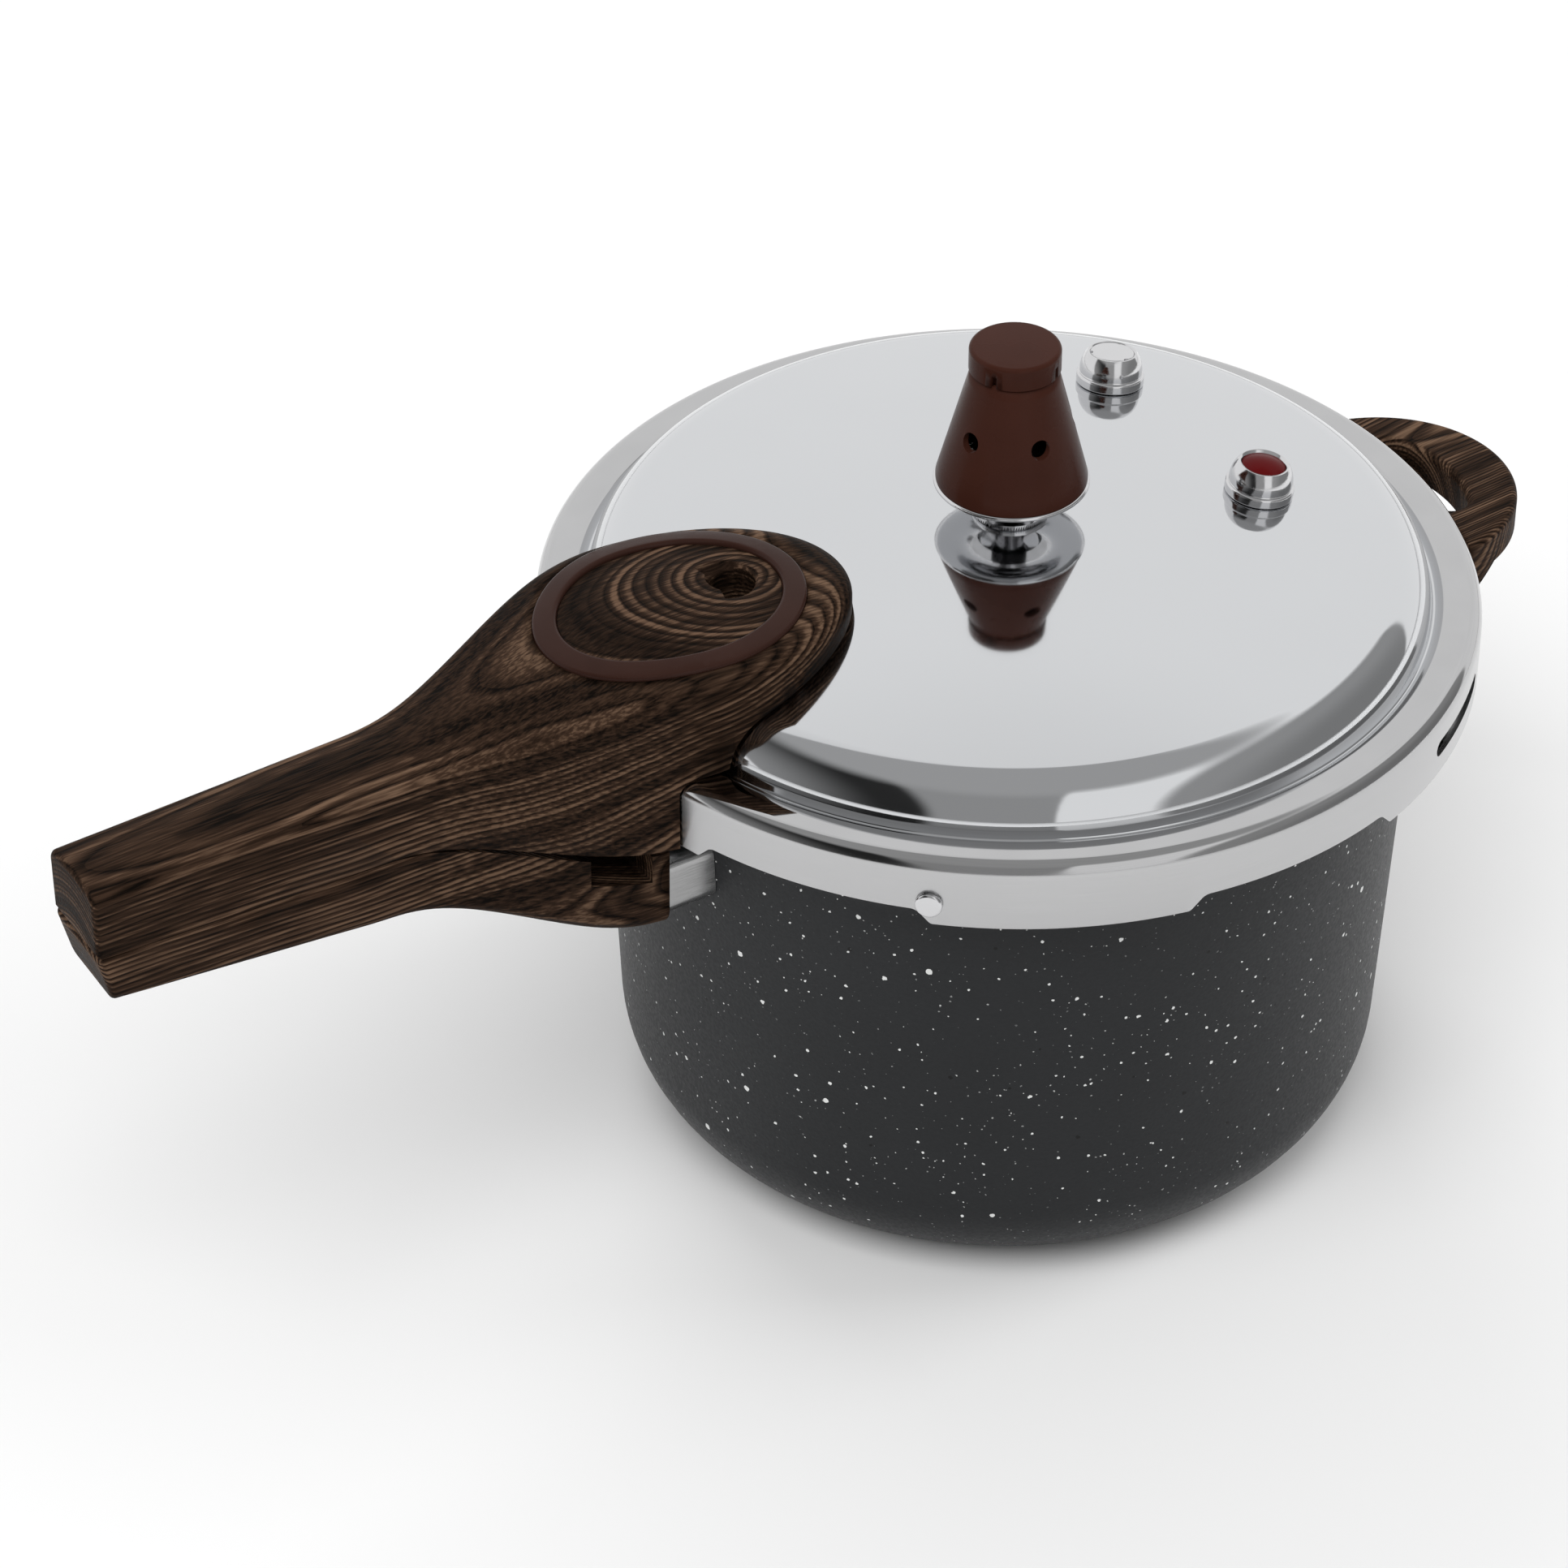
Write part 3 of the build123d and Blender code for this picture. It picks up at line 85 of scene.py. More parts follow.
class Signal:
    """A node's output that takes part in Python expressions."""

    def __init__(self, graph: "Graph", socket: bpy.types.NodeSocket) -> None:
        """Keeps the socket and the graph that it belongs to."""
        self.graph = graph
        self.socket = socket

    def _math(self, operation: str, *terms: Value) -> "Signal":
        """Adds a Math node for one operation on the terms."""
        return self.graph.add("ShaderNodeMath", {"operation": operation}, dict(enumerate(terms)))

    def __add__(self, other: Value) -> "Signal":
        """Sum of two values."""
        return self._math("ADD", self, other)

    def __radd__(self, other: Value) -> "Signal":
        """Sum with the plain number first."""
        return self._math("ADD", other, self)

    def __sub__(self, other: Value) -> "Signal":
        """Difference of two values."""
        return self._math("SUBTRACT", self, other)

    def __rsub__(self, other: Value) -> "Signal":
        """Difference with the plain number first."""
        return self._math("SUBTRACT", other, self)

    def __mul__(self, other: Value) -> "Signal":
        """Product of two values."""
        return self._math("MULTIPLY", self, other)

    def __rmul__(self, other: Value) -> "Signal":
        """Product with the plain number first."""
        return self._math("MULTIPLY", other, self)

    def __truediv__(self, other: Value) -> "Signal":
        """Quotient of two values."""
        return self._math("DIVIDE", self, other)

    def root(self) -> "Signal":
        """Square root of a value."""
        return self._math("SQRT", self)

    def fraction(self) -> "Signal":
        """Part of a value after its point."""
        return self._math("FRACT", self)

    def above(self, limit: Value) -> "Signal":
        """One where the value is larger than the limit, and zero elsewhere."""
        return self._math("GREATER_THAN", self, limit)

    def ramp(self, low: float, high: float, start: float = 0.0, end: float = 1.0) -> "Signal":
        """Smooth change of the value from one range to another.

        Args:
            low: value that gives start.
            high: value that gives end.
            start: result at and before low.
            end: result at and after high.

        Returns:
            The mapped value.
        """
        settings = {"interpolation_type": "SMOOTHSTEP", "clamp": True}
        sockets = {"Value": self, "From Min": low, "From Max": high, "To Min": start, "To Max": end}
        return self.graph.add("ShaderNodeMapRange", settings, sockets)


class Graph:
    """Node tree of one material or of the world."""

    def __init__(self, owner: Union[bpy.types.Material, bpy.types.World]) -> None:
        """Starts an empty tree."""
        self.owner = owner
        owner.use_nodes = True
        self.tree = owner.node_tree
        self.tree.nodes.clear()

    @classmethod
    def of_material(cls, name: str) -> "Graph":
        """Graph of a new material."""
        return cls(bpy.data.materials.new(name))

    def add(
        self,
        kind: str,
        settings: Optional[Dict[str, Any]] = None,
        sockets: Optional[Dict[Union[str, int], Value]] = None,
        output: Union[str, int, Tuple[str, ...]] = 0,
    ) -> Union[Signal, Tuple[Signal, ...], None]:
        """Adds one node.

        Args:
            kind: type of the node.
            settings: the node's own options, with a colour ramp's stops under "stops".
            sockets: values or links of its inputs, by name or number.
            output: which of its outputs to return, or several of their names.

        Returns:
            The chosen outputs, or none for a node that ends the tree.
        """
        node = self.tree.nodes.new(kind)
        for key, setting in (settings or {}).items():
            if key == "stops":
                self._set_stops(node.color_ramp, setting)
            else:
                setattr(node, key, setting)
        for key, value in (sockets or {}).items():
            if isinstance(value, Signal):
                self.tree.links.new(value.socket, node.inputs[key])
            else:
                node.inputs[key].default_value = value
        if not node.outputs:
            return None
        if isinstance(output, tuple):
            return tuple(Signal(self, node.outputs[name]) for name in output)
        return Signal(self, node.outputs[output])

    @staticmethod
    def _set_stops(ramp: bpy.types.ColorRamp, stops: Sequence[Tuple[float, Colour]]) -> None:
        """Gives a colour ramp its stops."""
        while len(ramp.elements) < len(stops):
            ramp.elements.new(1.0)
        for element, (position, colour) in zip(ramp.elements, stops):
            element.position = position
            element.color = (*colour, 1.0)

    def millimetres(self, turn: Point = (0.0, 0.0, 0.0)) -> Signal:
        """Object coordinates in millimetres.

        Args:
            turn: rotation about the three axes, in degrees.

        Returns:
            The coordinates.
        """
        place = self.add("ShaderNodeTexCoord", output="Object")
        turned = self.add(
            "ShaderNodeMapping",
            {"vector_type": "POINT"},
            {"Vector": place, "Rotation": [math.radians(angle) for angle in turn]},
        )
        return self.stretch(turned, (1.0 / MM,) * 3)

    def stretch(self, vector: Signal, scale: Point) -> Signal:
        """A vector multiplied on each axis."""
        return self.add("ShaderNodeVectorMath", {"operation": "MULTIPLY"}, {0: vector, 1: scale})

    def split(self, vector: Signal) -> Tuple[Signal, Signal, Signal]:
        """The three parts of a vector."""
        return self.add("ShaderNodeSeparateXYZ", None, {0: vector}, ("X", "Y", "Z"))

    def join(self, x: Value, y: Value, z: Value) -> Signal:
        """A vector from its three parts."""
        return self.add("ShaderNodeCombineXYZ", None, {0: x, 1: y, 2: z})

    def noise(
        self, vector: Signal, scale: float, detail: float = 2.0, output: str = "Fac"
    ) -> Signal:
        """Soft noise.

        Args:
            vector: where it is read.
            scale: how fine it is.
            detail: how many finer layers it has.
            output: its value or its colour.

        Returns:
            The noise.
        """
        sockets = {"Vector": vector, "Scale": scale, "Detail": detail}
        return self.add("ShaderNodeTexNoise", None, sockets, output)

    def mix(self, factor: Value, first: Value, second: Value) -> Signal:
        """Blend of two colours."""
        settings = {"data_type": "RGBA", "blend_type": "MIX", "clamp_factor": True}
        return self.add("ShaderNodeMix", settings, {0: factor, 6: rgba(first), 7: rgba(second)}, 2)

    def bump(self, height: Signal, depth_mm: float, strength: float = 1.0) -> Signal:
        """Normal bent by a height from zero to one.

        Args:
            height: the height.
            depth_mm: how deep one unit is.
            strength: how much of it shows.

        Returns:
            The normal.
        """
        sockets = {"Height": height, "Distance": depth_mm * MM, "Strength": strength}
        return self.add("ShaderNodeBump", None, sockets)

    def finish(self, **inputs: Value) -> bpy.types.Material:
        """Ends the tree in one principled surface.

        Args:
            inputs: its sockets, with underscores for spaces.

        Returns:
            The material.
        """
        sockets = {name.replace("_", " "): rgba(value) for name, value in inputs.items()}
        surface = self.add("ShaderNodeBsdfPrincipled", None, sockets)
        self.add("ShaderNodeOutputMaterial", None, {"Surface": surface})
        return self.owner


def shade(colour: Colour, factor: float) -> Colour:
    """A colour made darker or lighter by one factor."""
    return tuple(part * factor for part in colour)


def rgba(value: Value) -> Value:
    """A colour of three numbers with its alpha added, and anything else unchanged."""
    if isinstance(value, tuple) and len(value) == 3:
        return (*value, 1.0)
    return value


@dataclass(frozen=True)
class Fleck:
    """One kind of spot in the coating."""

    cell_mm: float
    chance: float
    smallest_mm: float
    largest_mm: float


@dataclass(frozen=True)
class SpeckledCoating:
    """Satin dark coating with pale and dark flecks."""

    name: str = "speckled_coating"
    ground: Colour = (0.0125, 0.0135, 0.0150)
    pale: Colour = (0.72, 0.73, 0.72)
    dark: Colour = (0.002, 0.002, 0.002)
    large: Fleck = Fleck(8.0, 0.95, 0.45, 1.05)
    middle: Fleck = Fleck(3.5, 0.85, 0.22, 0.55)
    small: Fleck = Fleck(2.0, 0.90, 0.14, 0.34)
    spot: Fleck = Fleck(9.0, 0.95, 0.40, 0.80)
    wobble_mm: float = 0.7
    wobble_waves: float = 0.8
    edge_mm: float = 0.08
    cluster_mm: float = 26.0
    cluster_edge: Span = (0.45, 0.62)
    dust_gain: float = 0.45
    dust_floor: float = 0.12
    cloud_scale: float = 0.03
    cloud_shades: Span = (0.8, 1.25)
    peel_scale: float = 0.9
    peel_depth_mm: float = 0.05
    fleck_height: float = 0.5
    roughness: Span = (0.40, 0.50)
    shine: float = 0.22

    def flecks(self, graph: Graph, kind: Fleck) -> Signal:
        """Mask of irregular spots.

        Args:
            graph: the material's graph.
            kind: the spots' spacing, share and radii.

        Returns:
            One inside the spots and zero outside.
        """
        place = graph.millimetres()
        warp = graph.noise(place, self.wobble_waves / self.wobble_mm, 1.0, "Color")
        sockets = {0: warp, "Scale": self.wobble_mm}
        offset = graph.add("ShaderNodeVectorMath", {"operation": "SCALE"}, sockets)
        moved = graph.add("ShaderNodeVectorMath", {"operation": "ADD"}, {0: place, 1: offset})
        settings = {"feature": "F1", "voronoi_dimensions": "3D"}
        sockets = {"Vector": moved, "Scale": 1.0 / kind.cell_mm}
        distance, tint = graph.add("ShaderNodeTexVoronoi", settings, sockets, ("Distance", "Color"))
        pick, size, _ = graph.split(tint)
        radius = size * size * (kind.largest_mm - kind.smallest_mm) + kind.smallest_mm
        edge = (radius - distance * kind.cell_mm).ramp(0.0, self.edge_mm)
        return edge * pick.above(1.0 - kind.chance)

    def build(self) -> bpy.types.Material:
        """Makes the material."""
        graph = Graph.of_material(self.name)
        place = graph.millimetres()
        cloud = graph.noise(place, self.cloud_scale, FINE_DETAIL)
        low, high = self.cloud_shades
        ground = graph.mix(cloud, shade(self.ground, low), shade(self.ground, high))
        dust = graph.noise(place, 1.0 / self.cluster_mm).ramp(*self.cluster_edge)
        pale = self.flecks(graph, self.large) + self.flecks(graph, self.middle)
        pale = pale + self.flecks(graph, self.small) * (dust * self.dust_gain + self.dust_floor)
        spotted = graph.mix(self.flecks(graph, self.spot), ground, self.dark)
        peel = graph.noise(place, self.peel_scale)
        return graph.finish(
            Base_Color=graph.mix(pale, spotted, self.pale),
            Roughness=peel.ramp(*NOISE_SPAN, *self.roughness),
            Specular_IOR_Level=self.shine,
            Normal=graph.bump(peel + pale * self.fleck_height, self.peel_depth_mm),
        )


@dataclass(frozen=True)
class Woodgrain:
    """Satin moulded handle with a long flowing woodgrain film."""

    name: str
    turn: Point = (0.0, 0.0, 0.0)
    heart_mm: float = 105.0
    start_mm: float = -278.0
    rise: float = 0.055
    head_start_mm: float = -195.0
    head_end_mm: float = -112.0
    head_rise_mm: float = 18.0
    squeeze: float = 2.0
    head_squeeze: float = 1.0
    sway_mm: float = 5.0
    sway_wave_mm: float = 24.0
    sway_stretch: Point = (0.25, 1.0, 1.0)
    heave_mm: float = 7.0
    heave_wave_mm: float = 38.0
    heave_stretch: Point = (0.4, 0.6, 0.6)
    ring_mm: float = 1.5
    line_rise: float = 0.30
    line_fall: float = 0.45
    line_floor: float = 0.30
    band_per_ring: float = 0.30
    band_per_mm: float = 0.008
    band_edge: Span = (0.30, 0.68)
    band_gain: float = 0.75
    band_floor: float = 0.12
    fibre_scale: float = 1.5
    fibre_stretch: Point = (0.045, 1.0, 1.0)
    fibre_edge: Span = (0.32, 0.70)
    fibre_tone: Span = (-0.10, 0.30)
    fibre_span: Span = (0.25, 0.75)
    roughness: Span = (0.40, 0.54)
    shine: float = 0.02
    depth_mm: float = 0.12
    umber_stop: float = 0.30
    umber_shade: float = 0.5
    middle_stop: float = 0.58
    dark: Colour = (0.0035, 0.0024, 0.0018)
    middle: Colour = (0.040, 0.0225, 0.0142)
    light: Colour = (0.135, 0.082, 0.052)

    def rings(self, graph: Graph) -> Signal:
        """Growth rings cut by the handle's skin, round a heart that rises along the handle.

        Args:
            graph: the material's graph.

        Returns:
            Ring count, rising outwards.
        """
        place = graph.millimetres(self.turn)
        x, y, z = graph.split(place)
        sway = graph.noise(graph.stretch(place, self.sway_stretch), 1.0 / self.sway_wave_mm)
        heave = graph.noise(graph.stretch(place, self.heave_stretch), 1.0 / self.heave_wave_mm, 1.0)
        heart = (x - self.start_mm) * self.rise + self.heart_mm
        heart = heart + x.ramp(self.head_start_mm, self.head_end_mm, 0.0, self.head_rise_mm)
        depth = z - heart + heave * self.heave_mm
        squeeze = x.ramp(self.head_start_mm, self.head_end_mm, self.squeeze, self.head_squeeze)
        across = (y + (sway - 0.5) * self.sway_mm) * squeeze
        return (across * across + depth * depth).root() / self.ring_mm

    def build(self) -> bpy.types.Material:
        """Makes the material."""
        graph = Graph.of_material(self.name)
        place = graph.millimetres(self.turn)
        x, _, _ = graph.split(place)
        count = self.rings(graph)
        ring = count.fraction()
        line = ring.ramp(0.0, self.line_rise) * ring.ramp(self.line_fall, 1.0, 1.0, self.line_floor)
        strip = graph.join(count * self.band_per_ring, x * self.band_per_mm, 0.0)
        band = graph.noise(strip, 1.0).ramp(*self.band_edge)
        fibre = graph.noise(graph.stretch(place, self.fibre_stretch), self.fibre_scale, FINE_DETAIL)
        tone = line * (band * self.band_gain + self.band_floor)
        tone = tone + fibre.ramp(*self.fibre_edge, *self.fibre_tone)
        stops = [
            (0.0, self.dark),
            (self.umber_stop, shade(self.middle, self.umber_shade)),
            (self.middle_stop, self.middle),
            (1.0, self.light),
        ]
        colour = graph.add("ShaderNodeValToRGB", {"stops": stops}, {"Fac": tone}, "Color")
        return graph.finish(
            Base_Color=colour,
            Roughness=fibre.ramp(*self.fibre_span, *self.roughness),
            Specular_IOR_Level=self.shine,
            Normal=graph.bump(tone, self.depth_mm),
        )


@dataclass(frozen=True)
class Moulding:
    """Glossy plastic with faint flow marks."""

    name: str
    colour: Colour
    roughness: float
    shine: float
    mark_mm: float = 14.0
    mark_shades: Span = (0.85, 1.15)
    mark_gloss: Span = (0.85, 1.2)
    grain_scale: float = 2.5
    grain_depth_mm: float = 0.01

    def build(self) -> bpy.types.Material:
        """Makes the material."""
        graph = Graph.of_material(self.name)
        place = graph.millimetres()
        flow = graph.noise(place, 1.0 / self.mark_mm, FINE_DETAIL)
        low, high = self.mark_shades
        colour = graph.mix(flow, shade(self.colour, low), shade(self.colour, high))
        rough = [self.roughness * factor for factor in self.mark_gloss]
        grain = graph.noise(place, self.grain_scale, 1.0)
        return graph.finish(
            Base_Color=colour,
            Roughness=flow.ramp(*NOISE_SPAN, *rough),
            Specular_IOR_Level=self.shine,
            Normal=graph.bump(grain, self.grain_depth_mm),
        )


@dataclass(frozen=True)
class PolishedSheet:
    """Mirror-polished pressed sheet with a duller flange and a satin skirt."""

    name: str = "polished_sheet"
    colour: Colour = (0.645, 0.655, 0.67)
    flange_colour: Colour = (0.53, 0.53, 0.535)
    dome_shade: float = 0.97
    flange_shade: float = 0.88
    flange_start_mm: Span = (114.4, 117.0)
    skirt_start_mm: Span = (125.5, 127.0)
    skirt_top_mm: Span = (160.0, 163.0)
    polish: float = 0.055
    satin: float = 0.20
    smudge_scale: float = 0.02
    smudge_span: Span = (0.35, 0.7)
    smudge_gloss: Span = (0.8, 1.5)
    streak_stretch: Point = (0.05, 0.05, 6.0)
    streak_gain: float = 0.06
    streak_depth_mm: float = 0.02
    streak_strength: float = 0.6

    def build(self) -> bpy.types.Material:
        """Makes the material."""
        graph = Graph.of_material(self.name)
        place = graph.millimetres()
        x, y, z = graph.split(place)
        reach = (x * x + y * y).root()
        skirt = reach.ramp(*self.skirt_start_mm) * z.ramp(*self.skirt_top_mm, 1.0, 0.0)
        smudge = graph.noise(place, self.smudge_scale, FINE_DETAIL)
        streak = graph.noise(graph.stretch(place, self.streak_stretch), 1.0)
        gloss = [self.polish * factor for factor in self.smudge_gloss]
        satin = streak * self.streak_gain + (self.satin - self.polish)
        rough = smudge.ramp(*self.smudge_span, *gloss) + skirt * satin
        tint = graph.mix(smudge, shade(self.colour, self.dome_shade), self.colour)
        dull = graph.mix(streak, shade(self.flange_colour, self.flange_shade), self.flange_colour)
        edge = reach.ramp(*self.flange_start_mm)
        return graph.finish(
            Base_Color=graph.mix(edge, tint, dull),
            Metallic=1.0,
            Roughness=rough,
            Normal=graph.bump(streak * skirt, self.streak_depth_mm, self.streak_strength),
        )


@dataclass(frozen=True)
class Metal:
    """Turned or pressed metal with fine tool lines."""

    name: str
    colour: Colour = (0.66, 0.66, 0.67)
    roughness: float = 0.12
    line_mm: float = 0.5
    line_stretch: Point = (0.08, 0.08, 1.0)
    line_gloss: Span = (0.8, 1.3)
    line_depth_mm: float = 0.01
    cloud_scale: float = 0.08
    cloud_shade: float = 0.93

    def build(self) -> bpy.types.Material:
        """Makes the material."""
        graph = Graph.of_material(self.name)
        place = graph.millimetres()
        lines = graph.noise(graph.stretch(place, self.line_stretch), 1.0 / self.line_mm)
        rough = [self.roughness * factor for factor in self.line_gloss]
        cloud = graph.noise(place, self.cloud_scale)
        tint = graph.mix(cloud, shade(self.colour, self.cloud_shade), self.colour)
        return graph.finish(
            Base_Color=tint,
            Metallic=1.0,
            Roughness=lines.ramp(*NOISE_SPAN, *rough),
            Normal=graph.bump(lines, self.line_depth_mm),
        )


@dataclass(frozen=True)
class SoftRubber:
    """Pale dull rubber."""

    name: str = "soft_rubber"
    colour: Colour = (0.34, 0.34, 0.33)
    dust_scale: float = 0.5
    dust_shades: Span = (0.9, 1.08)
    dust_depth_mm: float = 0.03
    roughness: Span = (0.6, 0.75)

    def build(self) -> bpy.types.Material:
        """Makes the material."""
        graph = Graph.of_material(self.name)
        dust = graph.noise(graph.millimetres(), self.dust_scale, FINE_DETAIL)
        low, high = self.dust_shades
        tint = graph.mix(dust, shade(self.colour, low), shade(self.colour, high))
        return graph.finish(
            Base_Color=tint,
            Roughness=dust.ramp(*NOISE_SPAN, *self.roughness),
            Normal=graph.bump(dust, self.dust_depth_mm),
        )


class Look(Enum):
    """Finishes of the cooker's pieces."""

    COATING = SpeckledCoating()
    SHEET = PolishedSheet()
    WOOD = Woodgrain("woodgrain")
    HELPER_WOOD = Woodgrain(
        "helper_woodgrain",
        turn=(0.0, 0.0, -6.0),
        heart_mm=64.0,
        start_mm=0.0,
        head_squeeze=2.2,
    )
    COVER_WOOD = Woodgrain(
        "cover_woodgrain",
        heart_mm=195.0,
        start_mm=-92.0,
        rise=0.7,
        head_rise_mm=0.0,
        squeeze=1.0,
        ring_mm=2.4,
        middle=(0.027, 0.0152, 0.0098),
        light=(0.120, 0.071, 0.045),
    )
    BROWN = Moulding("brown_moulding", (0.042, 0.0138, 0.0090), roughness=0.26, shine=0.06)
    RING = Moulding("ring_moulding", (0.029, 0.0124, 0.0090), roughness=0.2, shine=0.08)
    RED = Moulding("red_moulding", (0.080, 0.0034, 0.0042), roughness=0.14, shine=0.06)
    BRIGHT = Metal("bright_metal")
    SLEEVE = Metal("sleeve_metal", (0.40, 0.40, 0.40), roughness=0.2)
    STEEL = Metal("plain_steel", (0.48, 0.48, 0.48), roughness=0.3)
    RUBBER = SoftRubber()


class Workshop:
    """Finishes made once each, and the CAD nodes that take them."""

    def __init__(self) -> None:
        """Makes every finish."""
        self.materials = {look: look.value.build() for look in Look}

    def paint(self, piece: bpy.types.Object, look: Look) -> None:
        """Gives a piece one finish all over."""
        piece.data.materials.clear()
        piece.data.materials.append(self.materials[look])

    def paint_nodes(self, look: Look, *nodes: str) -> None:
        """Gives CAD nodes one finish each and reports them."""
        for node in nodes:
            self.paint(frame["nodes"][node], look)
            LOG.info("node %s takes %s", node, look.value.name)

    def smooth(self, node: str, look: Look, sharp: float = 30.0) -> bpy.types.Object:
        """Replaces a node by its own shape with welded, smooth faces.

        Args:
            node: the CAD node.
            look: the finish.
            sharp: edges that bend by more degrees than this stay crisp.

        Returns:
            The new piece.
        """
        source = frame["nodes"][node]
        work = bmesh.new()
        work.from_mesh(source.data)
        bmesh.ops.remove_doubles(work, verts=work.verts, dist=WELD)
        piece = self.piece(node + "_skin", work, sharp)
        self.paint(piece, look)
        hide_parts(node)
        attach(piece, source["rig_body"])
        return piece

    @staticmethod
    def piece(name: str, work: bmesh.types.BMesh, sharp: float) -> bpy.types.Object:
        """Turns a bmesh into an object in the scene.

        Args:
            name: the object's name.
            work: the bmesh, which is freed.
            sharp: edges that bend by more degrees than this stay crisp.

        Returns:
            The object.
        """
        mesh = bpy.data.meshes.new(name)
        work.to_mesh(mesh)
        work.free()
        mesh.shade_smooth()
        mesh.set_sharp_from_angle(angle=math.radians(sharp))
        made = bpy.data.objects.new(name, mesh)
        bpy.context.scene.collection.objects.link(made)
        LOG.info("piece %s has %d faces", name, len(mesh.polygons))
        return made


@dataclass
class Pot:
    """Coated pot with its two fixed handles."""

    def dress(self, shop: Workshop) -> None:
        """Gives the pot's pieces their finishes."""
        shop.smooth("pot_body", Look.COATING)
        shop.smooth("lower_handle_bracket", Look.SLEEVE)
        shop.smooth("lower_handle", Look.WOOD)
        shop.smooth("helper_handle", Look.HELPER_WOOD)
        shop.paint_nodes(Look.BRIGHT, "helper_bracket")
        shop.paint_nodes(
            Look.STEEL,
            "lower_bracket_rivets",
            "lower_handle_screw",
            "helper_bracket_rivets",
            "helper_handle_screw",
        )


@dataclass(frozen=True)
class Corner:
    """One corner of a turned profile, in millimetres."""

    radius: float
    height: float
    rounding: float = 0.0


class Turnery:
    """Turns profiles about the vertical axis and cuts the result."""

    steps: int = 240
    arc_segments: int = 7

    @classmethod
    def outline(cls, work: bmesh.types.BMesh, corners: Sequence[Corner]) -> None:
        """Draws a closed outline in the XZ plane and rounds its corners.

        Args:
            work: the bmesh that takes it.
            corners: its corners in order.
        """
        verts = [work.verts.new((c.radius * MM, 0.0, c.height * MM)) for c in corners]
        for index, vert in enumerate(verts):
            work.edges.new((verts[index - 1], vert))
        reach = {}
        for index, corner in enumerate(corners):
            if corner.rounding:
                before = verts[index - 1].co - verts[index].co
                after = verts[(index + 1) % len(verts)].co - verts[index].co
                reach[verts[index]] = corner.rounding * MM / math.tan(before.angle(after) / 2.0)
        for vert, offset in reach.items():
            bmesh.ops.bevel(
                work,
                geom=[vert],
                affect="VERTICES",
                offset=offset,
                offset_type="OFFSET",
                segments=cls.arc_segments,
                profile=0.5,
                material=-1,
            )

    @classmethod
    def turned(cls, corners: Sequence[Corner]) -> bmesh.types.BMesh:
        """Closed ring turned from a closed profile.

        Args:
            corners: the profile's corners in order.

        Returns:
            The ring.
        """
        work = bmesh.new()
        cls.outline(work, corners)
        bmesh.ops.spin(
            work,
            geom=work.verts[:] + work.edges[:],
            cent=(0.0, 0.0, 0.0),
            axis=(0.0, 0.0, 1.0),
            angle=2.0 * math.pi,
            steps=cls.steps,
            use_merge=True,
        )
        bmesh.ops.remove_doubles(work, verts=work.verts, dist=WELD)
        bmesh.ops.recalc_face_normals(work, faces=work.faces)
        return work

    @classmethod
    def prism(
        cls, corners: Sequence[Corner], near: float, far: float, angle: float
    ) -> bmesh.types.BMesh:
        """Radial prism for cutting a skirt.

        Args:
            corners: its outline, with the sideways distance as radius.
            near: where it starts from the axis.
            far: where it ends.
            angle: its direction about the axis, in degrees.

        Returns:
            The prism.
        """
        work = bmesh.new()
        cls.outline(work, corners)
        face = bmesh.ops.contextual_create(work, geom=work.edges[:])["faces"][0]
        bmesh.ops.translate(work, verts=work.verts, vec=(0.0, -near * MM, 0.0))
        grown = bmesh.ops.extrude_face_region(work, geom=[face])["geom"]
        moved = [item for item in grown if isinstance(item, bmesh.types.BMVert)]
        bmesh.ops.translate(work, verts=moved, vec=(0.0, (near - far) * MM, 0.0))
        bmesh.ops.recalc_face_normals(work, faces=work.faces)
        turn = Matrix.Rotation(math.radians(angle + 90.0), 3, "Z")
        bmesh.ops.rotate(work, verts=work.verts, cent=(0.0, 0.0, 0.0), matrix=turn)
        return work

    @staticmethod
    def cut(piece: bpy.types.Object, cutters: Iterable[bmesh.types.BMesh], sharp: float) -> None:
        """Cuts prisms out of a piece and keeps the result in its mesh.

        Args:
            piece: the piece.
            cutters: the prisms, which are freed.
            sharp: edges that bend by more degrees than this stay crisp.
        """
        for prism in cutters:
            tool = Workshop.piece("cutter", prism, sharp)
            modifier = piece.modifiers.new("cut", "BOOLEAN")
            modifier.operation = "DIFFERENCE"
            modifier.solver = "EXACT"
            modifier.object = tool
            shape = bpy.data.meshes.new_from_object(
                piece.evaluated_get(bpy.context.evaluated_depsgraph_get())
            )
            piece.modifiers.clear()
            piece.data = shape
            bpy.data.objects.remove(tool)
        piece.data.set_sharp_from_angle(angle=math.radians(sharp))


